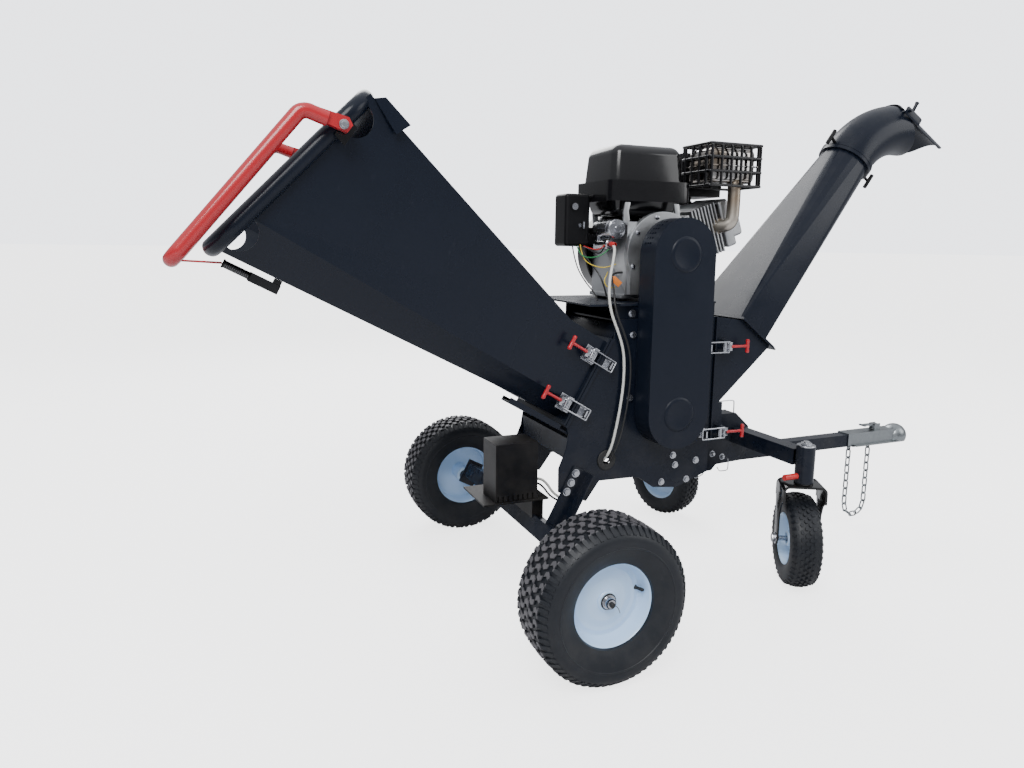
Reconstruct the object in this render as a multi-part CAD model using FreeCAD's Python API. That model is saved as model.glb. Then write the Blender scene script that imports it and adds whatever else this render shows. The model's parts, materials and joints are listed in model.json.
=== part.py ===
"""Towable wood chipper: feed hopper, drum rotor housing, engine, belt drive, discharge chute and chassis.

Frame: +X is the towing direction, +Y the left side seen along it, +Z up; millimetres.  Every place below
is measured from the rear axle line in X, from the middle in Y and from the ground in Z; save() shifts the
whole machine by AXLE_X, so that the origin lies under the middle of its bounding box.
"""
import FreeCAD
import Part
import math
import os

Vector = FreeCAD.Vector
X, Y, Z = Vector(1, 0, 0), Vector(0, 1, 0), Vector(0, 0, 1)

# ---- driving dimensions -------------------------------------------------------------------------------
AXLE_X = -349.3          # rear axle line in the part's own frame
FIT = 0.05               # radial clearance of a running fit
GAP = 0.3                # clearance between faces that move past each other
SHEET = 4.0              # folded sheet of hopper, hood and chute

WHEEL_R, WHEEL_W = 203.2, 164.0      # 16 x 6.50-8 turf tyre
RIM_R, RIM_HALF = 112.0, 56.0
WHEEL_Y = 535.0
HUB_IN, HUB_OUT = 50.0, 27.0         # hub ends, from the middle of the wheel
SPINDLE_R = 12.7

AXLE_TUBE = 50.0
TUBE_WALL = 4.0
AXLE_DROP = 30.0                     # spindle below the axle tube, along its tilt
AXLE_TILT = 28.0
BRACKET_Y = 440.0

PLATE_Y = 165.0                      # outer face of the chassis side plates
PLATE_T = 6.0
HOOD_X = 577.0                       # rear face of the discharge hood
HOUSING_X = HOOD_X - 1.0             # front end of the rotor housing
HOOD_Y = 157.0                       # outer face of the hood's sides
LATCH_Y = 181.0                      # pivot pins of the toggle latches

ROTOR_X, ROTOR_Z = 402.0, 557.0
CRANK_Z = 1015.0
DRUM_R = 120.0
SHAFT_R = 20.0
SHROUD_R = 156.0
FAN_R = 137.0                        # recoil shroud of the engine

COVER_R = 102.0                      # belt cover
COVER_BACK, COVER_FRONT = 172.0, 246.0
COVER_T = 3.0
LOW_PULLEY, HIGH_PULLEY, GROOVE = 68.0, 50.0, 11.0

SEAM_X, SEAM_Z, SEAM_TILT = 139.0, 648.0, 30.0   # hopper seam plane
THROAT_TOP, THROAT_LOW, THROAT_FOLD = 135.0, -120.0, -64.0
THROAT_W = 135.0
THROAT_Y, THROAT_LOW_Y = 160.0, 110.0
MOUTH_X, MOUTH_Z, MOUTH_LEN = -826.0, 1022.0, 479.0
MOUTH_Y, MOUTH_LOW_Y, MOUTH_FOLD = 290.0, 215.0, 98.0
LIP_R, MOUTH_BEND = 20.0, 70.0

BAR_Y, BAR_R = 332.0, 16.5           # red control bar

FLANGE_REAR, FLANGE_FRONT = (674.0, 820.0), (806.0, 718.0)
CHUTE_LEN, CHUTE_WIDE = 126.0, 270.0
PIPE_R = 80.0
TOP_X, TOP_Z, TOP_ANGLE = 1212.0, 1331.0, 54.0
BEND_R = 280.0
FLAP_DROP = 30.0                     # deflector below the outlet's axis at rest

BEAM = 50.0
STEM_X, STEM_Y = 799.0, 341.0
BEAM_Z = 412.0
STEM_R, STEM_LOW, STEM_TOP = 28.0, 338.0, 450.0
PIN_R, NECK_R = 20.0, 12.0            # caster pin and its groove for the plunger
CASTER_R, CASTER_W, CASTER_RIM = 145.0, 92.0, 80.0
CASTER_TRAIL = 29.0
CASTER_RIGHT, CASTER_LEFT = 61.0, 106.0   # heading of each caster at rest, from +X towards +Y

BAR_TUBE = 45.0                      # tow bar
TOW_Z = 338.0
TOW_REAR, TOW_FRONT = 712.0, 1360.0
CABLE_HOLE = (210.0, 416.0)          # battery leads pass through the right side plate
PLATE_GAP = 23.0                     # inner face of the tow bracket plates

ENGINE_Z = 884.0                     # underside of the engine feet
PLATE_Z = 876.0                      # top of the engine plate
TANK_LOW = 1124.0                    # underside of the fuel tank
PARTS = {}


# ---- helpers ------------------------------------------------------------------------------------------
def block(x0, x1, y0, y1, z0, z1):
    return Part.makeBox(x1 - x0, y1 - y0, z1 - z0, Vector(x0, y0, z0))


def rod(start, way, radius, length):
    return Part.makeCylinder(radius, length, Vector(*start), Vector(*way))


def pipe(start, way, outer, inner, length):
    return rod(start, way, outer, length).cut(rod(start, way, inner, length))


def bar(a, b, radius):
    """Round bar between two points."""
    a, b = Vector(*a), Vector(*b)
    return Part.makeCylinder(radius, (b - a).Length, a, b - a)


def slab(points, y0, y1):
    """Outline in the XZ plane, extruded from y0 to y1."""
    ring = [Vector(x, y0, z) for x, z in points]
    face = Part.Face(Part.makePolygon(ring + ring[:1]))
    return face.extrude(Vector(0, y1 - y0, 0))


def turned(profile, centre=(0, 0, 0), way=(0, 0, 1)):
    """Ring turned from (radius, height) points about an axis through centre."""
    ring = [Vector(r, 0, h) for r, h in profile]
    face = Part.Face(Part.makePolygon(ring + ring[:1]))
    return placed(face.revolve(Vector(0, 0, 0), Z, 360), centre, way)


def placed(shape, centre, way):
    """Copy of a shape made about Z, moved to centre with Z turned to way."""
    out = shape.copy()
    out.Placement = FreeCAD.Placement(Vector(*centre), FreeCAD.Rotation(Z, Vector(*way)))
    return out


def fused(*shapes):
    out = shapes[0]
    for shape in shapes[1:]:
        out = out.fuse(shape)
    return out.removeSplitter()


def mirrored(shape):
    return shape.mirror(Vector(0, 0, 0), Y)


def tilted(shape, degrees, centre):
    """Copy of a shape turned about the Y direction through centre (x, z)."""
    out = shape.copy()
    out.rotate(Vector(centre[0], 0, centre[1]), Y, degrees)
    return out


def spun(shape, degrees, centre):
    """Copy of a shape turned about the vertical through centre (x, y)."""
    out = shape.copy()
    out.rotate(Vector(centre[0], centre[1], 0), Z, degrees)
    return out


def bolt_head(start, way, head):
    """Hexagon head on a thin washer, standing on start along way."""
    way, start = Vector(*way), Vector(*start)
    turn = FreeCAD.Rotation(Z, way)
    corners = [Vector(head * math.cos(math.radians(a)), head * math.sin(math.radians(a)), 0) for a in range(0, 360, 60)]
    ring = [start + way * 1.5 + turn.multVec(corner) for corner in corners]
    cap = Part.Face(Part.makePolygon(ring + ring[:1])).extrude(way * (0.75 * head))
    return cap.fuse(Part.makeCylinder(1.35 * head, 1.5, start, way))


def side_name(side):
    return "left" if side > 0 else "right"


def save(name, *shapes):
    PARTS[name] = shapes


def seam(u, w):
    """Point (x, z) from the hopper seam: u up along the seam plane, w out along the hopper's throat."""
    s, c = math.sin(math.radians(SEAM_TILT)), math.cos(math.radians(SEAM_TILT))
    return SEAM_X + u * s - w * c, SEAM_Z + u * c + w * s


def hinge(point, way, spans, pin, leaf_fixed, leaf_moving):
    """Butt hinges on one line: each span is (from, to) along way; returns (fixed, moving) solids."""
    knuckle = pin + 4.0
    fixed, moving = [], []
    for low, high in spans:
        mid = (low + high) / 2
        a = Vector(*point) + Vector(*way) * low
        b = Vector(*point) + Vector(*way) * (mid + GAP)
        half = mid - low
        stem = Part.makeCylinder(knuckle, half, a, Vector(*way))
        spindle = Part.makeCylinder(pin, 2 * half - 3, a, Vector(*way))
        barrel = Part.makeCylinder(knuckle, half - GAP, b, Vector(*way))
        bore = Part.makeCylinder(pin + FIT, 2 * half, a, Vector(*way))
        fixed.append(stem.fuse(leaf_fixed(low, mid)).cut(bore).fuse(spindle))
        moving.append(barrel.fuse(leaf_moving(mid + GAP, high)).cut(bore))
    return fixed, moving


def mouth(s):
    """Point (x, z) on the hopper's mouth, s up from its lower lip."""
    half = math.sqrt(0.5)
    return MOUTH_X + s * half, MOUTH_Z + s * half


def flat(corners):
    ring = [Vector(*p) for p in corners]
    return Part.Face(Part.makePolygon(ring + ring[:1]))


def loft(*rings):
    """Solid through flat outlines with the same number of corners; each side panel folds on a diagonal."""
    faces = [flat(rings[0]), flat(rings[-1])]
    for low, high in zip(rings, rings[1:]):
        for i, here in enumerate(low):
            k = (i + 1) % len(low)
            faces.append(flat((here, low[k], high[k])))
            faces.append(flat((here, high[k], high[i])))
    shell = Part.makeShell(faces)
    shell.sewShape()
    solid = Part.makeSolid(shell)
    if solid.Volume < 0:
        solid.reverse()
    return solid


# ---- wheels and axle ----------------------------------------------------------------------------------
def tyre(radius, width, flange, rim_half):
    """Tyre about Z with room for the rim's flanges."""
    half, bead, wall = width / 2, flange - 9.8, 9.0
    outer = [(bead, -rim_half), (bead + 12, -0.9 * half), (0.80 * radius, -half), (0.93 * radius, -0.9 * half),
             (radius, -0.62 * half), (radius, 0.62 * half), (0.93 * radius, 0.9 * half), (0.80 * radius, half),
             (bead + 12, 0.9 * half), (bead, rim_half)]
    inner = [(bead - 1, -0.62 * half + wall), (0.80 * radius, -half + wall), (radius - wall, -0.5 * half),
             (radius - wall, 0.5 * half), (0.80 * radius, half - wall), (bead - 1, 0.62 * half - wall)]
    room = [(bead - 9, -width), (flange + 0.2, -width), (flange + 0.2, -rim_half + 4.2), (bead, -rim_half + 7.4),
            (bead - 9, -rim_half + 7.4)]
    shape = turned(outer).cut(turned(inner))
    return shape.cut(turned(room)).cut(turned([(r, -h) for r, h in room]))


def rim(flange, half, bore, hub_r, hub_in, hub_out, dish):
    """Pressed rim about Z: barrel with two flanges, a dished disc and a hub with its bore."""
    seat = flange - 10
    barrel = [(seat - 4, -half), (flange, -half), (flange, -half + 4), (seat, -half + 7), (seat, half - 7),
              (flange, half - 4), (flange, half), (seat - 4, half)]
    disc = [(hub_r - 2, dish - 4), (seat - 2, dish - 4), (seat - 2, dish), (hub_r - 2, dish)]
    hub = [(bore, -hub_in), (hub_r, -hub_in), (hub_r, hub_out), (bore, hub_out)]
    return fused(turned(barrel), turned(disc), turned(hub))


def big_wheel(side):
    centre, way = (0, side * WHEEL_Y, WHEEL_R), (0, side, 0)
    solids = (rim(RIM_R, RIM_HALF, SPINDLE_R, 28, HUB_IN, HUB_OUT, 12), tyre(WHEEL_R, WHEEL_W, RIM_R, RIM_HALF))
    save("wheel_" + side_name(side), *[placed(solid, centre, way) for solid in solids])


def axle_frame():
    """Centre (x, z) of the tilted axle tube."""
    a = math.radians(AXLE_TILT)
    return AXLE_DROP * math.sin(a), WHEEL_R + AXLE_DROP * math.cos(a)


def axle_box(a0, a1, b0, b1, y0, y1):
    """Box in the axle's tilted frame: a across the leg, b up along it, from the tube's centre."""
    cx, cz = axle_frame()
    return tilted(block(cx + a0, cx + a1, y0, y1, cz + b0, cz + b1), AXLE_TILT, (cx, cz))


def axle_tube_space():
    return axle_box(-AXLE_TUBE / 2, AXLE_TUBE / 2, -AXLE_TUBE / 2, AXLE_TUBE / 2, -BRACKET_Y, BRACKET_Y)


def axle():
    inner = AXLE_TUBE / 2 - TUBE_WALL
    beam = axle_tube_space().cut(axle_box(-inner, inner, -inner, inner, -BRACKET_Y, BRACKET_Y))
    ends = []
    for side in (1, -1):
        y0, y1 = sorted((side * BRACKET_Y, side * (BRACKET_Y + 8)))
        ends.append(axle_box(-29, 29, -52, 35, y0, y1))
        shoulder = WHEEL_Y - HUB_IN - GAP - BRACKET_Y
        ends.append(rod((0, side * BRACKET_Y, WHEEL_R), (0, side, 0), SPINDLE_R + 7, shoulder))
        length = WHEEL_Y + HUB_OUT + 16 - BRACKET_Y
        ends.append(rod((0, side * BRACKET_Y, WHEEL_R), (0, side, 0), SPINDLE_R - FIT, length))
    save("axle_beam", fused(beam, *ends))


def legs():
    """Two angle-iron legs, bolted outside the side plates and welded down to the axle tube."""
    out = []
    for side in (1, -1):
        web = axle_box(-5, 50, -20, 205, *sorted((side * PLATE_Y, side * (PLATE_Y + PLATE_T))))
        flange = axle_box(44, 50, -20, 205, *sorted((side * PLATE_Y, side * (PLATE_Y + 40))))
        out.append(fused(web, flange).cut(axle_tube_space()))
    save("legs", *out)


# ---- chassis ------------------------------------------------------------------------------------------
def side_plates():
    outline = [(88, 505), (81, 461), (59, 407), (60, 338), (150, 300), (192, 357), (307, 355), (328, 351),
               (379, 316), (463, 306), (540, 332), (HOUSING_X, 345), (HOUSING_X, 830), (236, 830)]
    outline += [seam(152, -12), seam(-137, -12)]
    plate = slab(outline, -PLATE_Y, -PLATE_Y + PLATE_T)
    plate = plate.cut(rod((ROTOR_X, -PLATE_Y - 1, ROTOR_Z), (0, 1, 0), SHAFT_R + 4, 20))
    hole = rod((CABLE_HOLE[0], -PLATE_Y - 1, CABLE_HOLE[1]), (0, 1, 0), 24, 20)
    save("side_plates", plate.cut(hole), mirrored(plate))


def cross_members():
    """Plates between the side plates: rear, floor, nose, and the shelf and rail under the hopper."""
    inner = PLATE_Y - PLATE_T
    rear = block(86, 92, -inner, inner, 430, 494)
    floor = block(224, 300, -inner, inner, 357, 363)
    nose = block(HOUSING_X - 6, HOUSING_X, -inner, inner, 345, 520)
    low, high = -150.0, -144.0
    root = slab([seam(low, -40), seam(high, -40), seam(high, 8), seam(low, 8)], -inner, inner)
    shelf = slab([seam(low, 8), seam(high, 8), seam(high, 60), seam(low, 60)], -PLATE_Y, PLATE_Y)
    ears = [slab([seam(low, 8), seam(-134, 8), seam(-134, reach), seam(low, reach)],
                 *sorted((side * (PLATE_Y - PLATE_T), side * PLATE_Y))) for side, reach in ((1, 60), (-1, 186))]
    return [rear, floor, nose, fused(root, shelf, *ears)]


HOPPER_HINGE_Y = 186.0
HOPPER_HINGES = ((-110.0, -50.0), (50.0, 110.0))


def hopper_hinge():
    """Hinge pairs along the left edge of the hopper seam."""
    def leaf(w0, w1):
        return lambda a, b: slab([seam(a, w0), seam(b, w0), seam(b, w1), seam(a, w1)], PLATE_Y + 7, HOPPER_HINGE_Y)
    x, z = seam(0, -1)
    along = (math.sin(math.radians(SEAM_TILT)), 0, math.cos(math.radians(SEAM_TILT)))
    return hinge((x, HOPPER_HINGE_Y, z), along, HOPPER_HINGES, 6.0, leaf(-12, -2), leaf(0, 6))


def neck():
    """Infeed neck: flange ring on the seam plane and the tunnel behind it."""
    ring = slab([seam(-135, -2), seam(150, -2), seam(150, -12), seam(-135, -12)], -172, 172)
    opening = slab([seam(-105, 0), seam(120, 0), seam(120, -40), seam(-105, -40)], -150, 150)
    tunnel = slab([seam(-110, -12), seam(125, -12), seam(125, -85), seam(-110, -85)], -155, 155)
    hollow = slab([seam(-105, 5), seam(120, 5), seam(120, -120), seam(-105, -120)], -150, 150)
    body = fused(ring.cut(opening), tunnel).cut(hollow)
    room = rod((ROTOR_X, -200, ROTOR_Z), (0, 1, 0), SHROUD_R + 10, 400)
    fixed, _ = hopper_hinge()
    save("infeed_neck", fused(body.cut(room), *fixed))


HOOD_HINGE_Y = 190.0
HOOD_HINGES = ((500.0, 560.0), (740.0, 800.0))


def hood_hinge():
    """Upright hinge pairs between the housing's left side and the hood."""
    def fixed_leaf(a, b):
        return block(HOUSING_X - 20, HOUSING_X, PLATE_Y, HOOD_HINGE_Y, a, b)

    def moving_leaf(a, b):
        return block(HOOD_X, HOOD_X + 14, HOOD_Y, HOOD_HINGE_Y, a, b)
    return hinge((HOOD_X, HOOD_HINGE_Y, 0), (0, 0, 1), HOOD_HINGES, 6.0, fixed_leaf, moving_leaf)


def housing():
    """Wrap under the rotor, the roof behind the hood, the anvil and the two shaft bearings."""
    inner = PLATE_Y - PLATE_T
    wrap = pipe((ROTOR_X, -inner, ROTOR_Z), (0, 1, 0), SHROUD_R + 5, SHROUD_R, 2 * inner)
    upper = block(ROTOR_X - 300, ROTOR_X + 300, -inner, inner, ROTOR_Z - 40, ROTOR_Z + 300)
    wrap = wrap.cut(upper)
    roof = block(250, HOUSING_X, 6 - inner, inner - 6, 820, 826)
    anvil = block(ROTOR_X - 172, ROTOR_X - 134, -150, 150, ROTOR_Z - 40, ROTOR_Z - 28)
    outside = pipe((ROTOR_X, PLATE_Y, ROTOR_Z), (0, 1, 0), 46, SHAFT_R + FIT, 14)
    inside = pipe((ROTOR_X, -inner, ROTOR_Z), (0, 1, 0), 46, SHAFT_R + FIT, 12)
    brackets = [plate for plate in hood_hinge()[0]]
    save("rotor_housing", wrap, roof, anvil, outside, inside, *brackets, *cross_members())


def rotor():
    """Drum on its shaft, with two knives and the driven pulley outside the right side plate."""
    drum = rod((ROTOR_X, -140, ROTOR_Z), (0, 1, 0), DRUM_R, 280)
    for turn in (0, 180):
        a = math.radians(turn)
        slot = block(ROTOR_X - 8, ROTOR_X + 8, -141, 141, ROTOR_Z + DRUM_R - 22, ROTOR_Z + DRUM_R + 5)
        drum = drum.cut(tilted(slot, math.degrees(a), (ROTOR_X, ROTOR_Z)))
    front = COVER_FRONT - COVER_T - 12
    shaft = rod((ROTOR_X, -front, ROTOR_Z), (0, 1, 0), SHAFT_R, front + PLATE_Y + 20)
    pulley = turned(grooves(LOW_PULLEY), (ROTOR_X, -210, ROTOR_Z), (0, 1, 0))
    knives = []
    for turn in (0, 180):
        blade = block(ROTOR_X - 7.5, ROTOR_X + 7.5, -138, 138, ROTOR_Z + DRUM_R - 21, ROTOR_Z + DRUM_R + 9)
        knives.append(tilted(blade, turn, (ROTOR_X, ROTOR_Z)))
    save("rotor", fused(drum, shaft, pulley), *knives)


def grooves(radius):
    """Profile of a pulley with two V grooves, solid down to its middle."""
    half, deep = 19.0, GROOVE
    low = [(0, -half), (radius, -half), (radius, -half + 3.5), (radius - deep, -half + 6.5),
           (radius - deep, -half + 13.5), (radius, -2.5)]
    return low + [(r, -h) for r, h in reversed(low)]


def obround(radius, y0, y1):
    ends = [rod((ROTOR_X, y0, z), (0, 1, 0), radius, y1 - y0) for z in (ROTOR_Z, CRANK_Z)]
    return fused(block(ROTOR_X - radius, ROTOR_X + radius, y0, y1, ROTOR_Z, CRANK_Z), *ends)


def belt_cover():
    shell = obround(COVER_R, -COVER_FRONT, -COVER_BACK).cut(obround(COVER_R - COVER_T, -COVER_FRONT + COVER_T,
                                                                   -COVER_BACK))
    for z in (ROTOR_Z, CRANK_Z):
        shell = shell.fuse(rod((ROTOR_X, -COVER_FRONT - 3, z), (0, 1, 0), 44, 3.5))
    for row in range(3):
        for k in range(6):
            a = math.radians(118 + 9 * k)
            y = -COVER_BACK - 16 - 12 * row
            shell = shell.cut(rod((ROTOR_X, y, CRANK_Z), (math.cos(a), 0, math.sin(a)), 3.5, COVER_R + 5))
    save("belt_cover", shell.removeSplitter())
    plate = obround(COVER_R, -COVER_BACK, -COVER_BACK + 4)
    plate = plate.cut(rod((ROTOR_X, -COVER_BACK - 1, ROTOR_Z), (0, 1, 0), SHAFT_R + 4, 10))
    plate = plate.cut(rod((ROTOR_X, -COVER_BACK - 1, CRANK_Z), (0, 1, 0), 20, 10))
    save("belt_back_plate", plate)


def belt_loop(y, half, grow):
    """Solid within a belt line round both pulleys, grow outside their rims."""
    low, high = LOW_PULLEY + grow, HIGH_PULLEY + grow
    lean = math.asin((low - high) / (CRANK_Z - ROTOR_Z))
    c, s = math.cos(lean), math.sin(lean)
    web = slab([(ROTOR_X - low * c, ROTOR_Z + low * s), (ROTOR_X - high * c, CRANK_Z + high * s),
                (ROTOR_X + high * c, CRANK_Z + high * s), (ROTOR_X + low * c, ROTOR_Z + low * s)], y - half, y + half)
    ends = [rod((ROTOR_X, y - half, z), (0, 1, 0), r, 2 * half) for z, r in ((ROTOR_Z, low), (CRANK_Z, high))]
    return fused(web, *ends)


def belts():
    """Two V belts, kept just clear of the pulley grooves they sit in."""
    save("drive_belts", *[belt_loop(y, 3.2, -2.0).cut(belt_loop(y, 3.2, GAP - GROOVE)) for y in (-219.0, -201.0)])


# ---- hopper -------------------------------------------------------------------------------------------
def section(point, wide, low_wide, low, fold, top, inset):
    """Six corners of one hopper section; inset draws every wall in."""
    rows = [(low_wide - inset * 0.6, low + inset), (wide - inset, fold + inset * 0.5), (wide - inset, top - inset)]
    right = [(*point(s), -y) for y, s in rows]
    left = [(*point(s), y) for y, s in reversed(rows)]
    return [(x, y, z) for x, z, y in right + left]


def through(w):
    """Points of the throat's section at a distance w from the seam."""
    return lambda u: seam(u, w)


def hopper():
    throat = (THROAT_Y, THROAT_LOW_Y, THROAT_LOW, THROAT_FOLD, THROAT_TOP)
    lips = (MOUTH_Y, MOUTH_LOW_Y, 0.0, MOUTH_FOLD, MOUTH_LEN)
    outer = loft(section(mouth, *lips, 0), section(through(THROAT_W), *throat, 0), section(through(0), *throat, 0))
    lip = section(mouth, *lips, SHEET)
    past = [(x - 20, y, z + 20) for x, y, z in lip]
    inner = loft(past, lip, section(through(THROAT_W), *throat, SHEET), section(through(-20), *throat, SHEET))
    corners = [(-MOUTH_Y, 0.0), (-MOUTH_Y, MOUTH_LEN), (MOUTH_Y, MOUTH_LEN), (MOUTH_Y, 0.0)]
    ring = ring_tube(corners, MOUTH_BEND, LIP_R)
    flange = slab([seam(-132, 0), seam(147, 0), seam(147, 6), seam(-132, 6)], -172, 172)
    shell = outer.fuse(flange).cut(inner)
    for s in (MOUTH_BEND - 8, MOUTH_LEN - MOUTH_BEND + 8):
        x, z = mouth(s)
        shell = shell.cut(rod((x + 12, -400, z - 12), (0, 1, 0), 40, 800))
    for side in (1, -1):
        y0, y1 = sorted((side * (MOUTH_Y - SHEET), side * MOUTH_Y))
        shell = shell.fuse(slab([(-478, 1352), (-452, 1356), (-396, 1300), (-430, 1278)], y0, y1))
    _, moving = hopper_hinge()
    save("hopper_shell", fused(shell.cut(ring), *moving))
    save("mouth_frame", ring.cut(ring_tube(corners, MOUTH_BEND, LIP_R - 3)))


def ring_tube(corners, bend, radius):
    """Closed round bar through (y, s) corners in the mouth plane."""
    def place(y, s):
        x, z = mouth(s)
        return Vector(x, y, z)
    edges = []
    k = 1 - math.sqrt(0.5)
    for i, here in enumerate(corners):
        after = corners[(i + 1) % len(corners)]
        start = step(here, corners[i - 1], bend)
        end = step(here, after, bend)
        mid = tuple(c + ((s - c) + (e - c)) * k for c, s, e in zip(here, start, end))
        edges.append(Part.Arc(place(*start), place(*mid), place(*end)).toShape())
        edges.append(Part.LineSegment(place(*end), place(*step(after, here, bend))).toShape())
    first = place(*step(corners[0], corners[-1], bend))
    circle = Part.Wire(Part.makeCircle(radius, first, Y))
    return Part.Wire(edges).makePipeShell([circle], True, False)


def step(a, b, length):
    """Point at a length from a towards b."""
    d = math.dist(a, b)
    return tuple(p + (q - p) * length / d for p, q in zip(a, b))


def bent_bar(points, bend, radius):
    """Open round bar through points, with an arc at each inner point."""
    pts = [Vector(*p) for p in points]
    edges, last = [], pts[0]
    for i in range(1, len(pts) - 1):
        a, b, c = pts[i - 1], pts[i], pts[i + 1]
        to_a, to_c = (a - b).normalize(), (c - b).normalize()
        turn = math.pi - to_a.getAngle(to_c)
        reach = bend * math.tan(turn / 2)
        start, end = b + to_a * reach, b + to_c * reach
        middle = b + (to_a + to_c).normalize() * (bend / math.cos(turn / 2) - bend)
        edges.append(Part.LineSegment(last, start).toShape())
        edges.append(Part.Arc(start, middle, end).toShape())
        last = end
    edges.append(Part.LineSegment(last, pts[-1]).toShape())
    path = Part.Wire(edges)
    circle = Part.Wire(Part.makeCircle(radius, pts[0], pts[1] - pts[0]))
    return path.makePipeShell([circle], True, True)


BAR_PIVOT = (-556.0, 1283.0)


def control_bar():
    """Red bar in front of the mouth, hinged on both sides of the mouth frame, and its link rod."""
    px, pz = BAR_PIVOT
    foot_x, foot_z = -906.0, 998.0
    knee = (-640, 1312)
    points = [(px - 32, -BAR_Y, pz + 11), (knee[0], -BAR_Y, knee[1]), (foot_x, -BAR_Y, foot_z), (foot_x, BAR_Y, foot_z),
              (knee[0], BAR_Y, knee[1]), (px - 32, BAR_Y, pz + 11)]
    tube = bent_bar(points, 26.0, BAR_R)
    for side in (1, -1):
        eye = slab([(px - 56, pz + 8), (px - 50, pz + 32), (px + 12, pz + 16), (px + 20, pz), (px + 8, pz - 16)],
                   *sorted((side * (BAR_Y - 9), side * (BAR_Y + 9))))
        tube = tube.fuse(eye)
    tube = tube.cut(rod((px, -BAR_Y - 60, pz), (0, 1, 0), 6 + FIT, 2 * BAR_Y + 120))
    hook_x, hook_z = under(36 - 2.0, 22)
    link = bar((foot_x + 12, -150, foot_z - 6), (hook_x, -150, hook_z), 2.5)
    save("control_bar", fused(tube, link))


def under(a, n):
    """Point (x, z) off the hopper's lower panel: a down along it from the mouth, n below it."""
    (x0, z0), (x1, z1) = mouth(0), seam(THROAT_LOW, THROAT_W)
    length = math.dist((x0, z0), (x1, z1))
    ax, az = (x1 - x0) / length, (z1 - z0) / length
    return x0 + a * ax + n * az, z0 + a * az - n * ax


def bar_pivots():
    """Pivot pins on brackets of the mouth frame, and the spring with its switch under the hopper."""
    px, pz = BAR_PIVOT
    out = []
    for side in (1, -1):
        pin = rod((px, side * (MOUTH_Y + LIP_R), pz), (0, side, 0), 6, BAR_Y - MOUTH_Y - LIP_R + 12)
        head = rod((px, side * (BAR_Y + 9 + GAP), pz), (0, side, 0), 10, 7)
        strap = slab([(px - 16, pz - 18), (px + 12, pz + 22), (px + 34, pz), (px + 6, pz - 40)],
                     *sorted((side * (MOUTH_Y + LIP_R), side * (MOUTH_Y + LIP_R + 5))))
        out.append(fused(pin, head, strap))
    (x0, z0), (x1, z1) = under(36, 22), under(100, 22)
    box = slab([under(100, 12), under(170, 12), under(170, 34), under(100, 34)], -172, -128)
    arm = slab([under(152, 0.1), under(170, 0.1), under(170, 12), under(152, 12)], -160, -140)
    return out + [bar((x0, -150, z0), (x1, -150, z1), 9.0), fused(box, arm)]


# ---- toggle latches -----------------------------------------------------------------------------------
def latch(name, x, z, slope, base_y):
    """One toggle latch on the right side: saves lever and hook, returns base and keeper.

    slope turns the latch in the XZ plane; at slope 0 the T grip points to -X and the hook to +X.
    """
    y = -LATCH_Y
    hx, hy = x - 10, y - 8
    plate = fused(block(x - 24, x + 6, y - 3, y + 3, z - 13, z + 13), rod((x, y, z - 13), (0, 0, 1), 6, 26))
    shank = bar((x - 22, y, z), (x - 80, y - 5, z), 4.5)
    grip = bar((x - 80, y - 5, z - 20), (x - 80, y - 5, z + 20), 5.5)
    cheeks = [block(hx - 5, hx + 5, hy - 5, y - 2, z + s - 1.5, z + s + 1.5) for s in (-8, 8)]
    lever = fused(plate, shank, grip, *cheeks).cut(rod((x, y, z - 14), (0, 0, 1), 3 + FIT, 28))
    lever = lever.cut(rod((hx, hy, z - 14), (0, 0, 1), 2.5 + FIT, 28))
    save(name + "_lever", tilted(lever, slope, (x, z)))
    far = x + 72
    wires = [bar((hx, hy, z + s), (far, hy, z + s), 2.5) for s in (-16, 16)]
    ends = [bar((a, hy, z - 16), (a, hy, z + 16), 2.5) for a in (hx, far)]
    balls = [Part.makeSphere(2.5, Vector(a, hy, z + s)) for a in (hx, far) for s in (-16, 16)]
    save(name + "_hook", tilted(fused(*wires, *ends, *balls), slope, (x, z)))
    pin = rod((x, y, z - 22), (0, 0, 1), 3, 44)
    ears = [block(x - 7, x + 10, y - 5, -base_y, z + s - 1.5, z + s + 1.5) for s in (-20.5, 20.5)]
    foot = block(x - 22, x + 22, -base_y - 3, -base_y, z - 23, z + 23)
    keeper = fused(block(x + 48, x + 70, -PLATE_Y - 3, -PLATE_Y, z - 14, z + 14),
                   block(x + 58, x + 63, y - 14, -PLATE_Y, z - 10, z + 10))
    return tilted(fused(foot, pin, *ears), slope, (x, z)), tilted(keeper, slope, (x, z))


LATCHES = {"hopper_latch_upper": (*seam(79, 32), SEAM_TILT), "hopper_latch_lower": (*seam(-75, 32), SEAM_TILT),
           "hood_latch_upper": (HOOD_X + 29, 738.0, 180.0), "hood_latch_lower": (HOOD_X + 29, 471.0, 180.0)}


def latches():
    """Bases and keepers of the four toggle latches, by the body that carries them."""
    keepers, hopper_bases, hood_bases = [], [], []
    for name, (x, z, slope) in LATCHES.items():
        base, keeper = latch(name, x, z, slope, THROAT_Y if name.startswith("hopper") else HOOD_Y)
        keepers.append(keeper)
        (hopper_bases if name.startswith("hopper") else hood_bases).append(base)
    return keepers, hopper_bases, hood_bases


# ---- discharge ----------------------------------------------------------------------------------------
def flange_frame():
    """Middle, direction along and normal of the chute's base flange, in (x, z)."""
    (x0, z0), (x1, z1) = FLANGE_REAR, FLANGE_FRONT
    length = math.dist(FLANGE_REAR, FLANGE_FRONT)
    along = ((x1 - x0) / length, (z1 - z0) / length)
    return ((x0 + x1) / 2, (z0 + z1) / 2), along, (-along[1], along[0]), length


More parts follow.
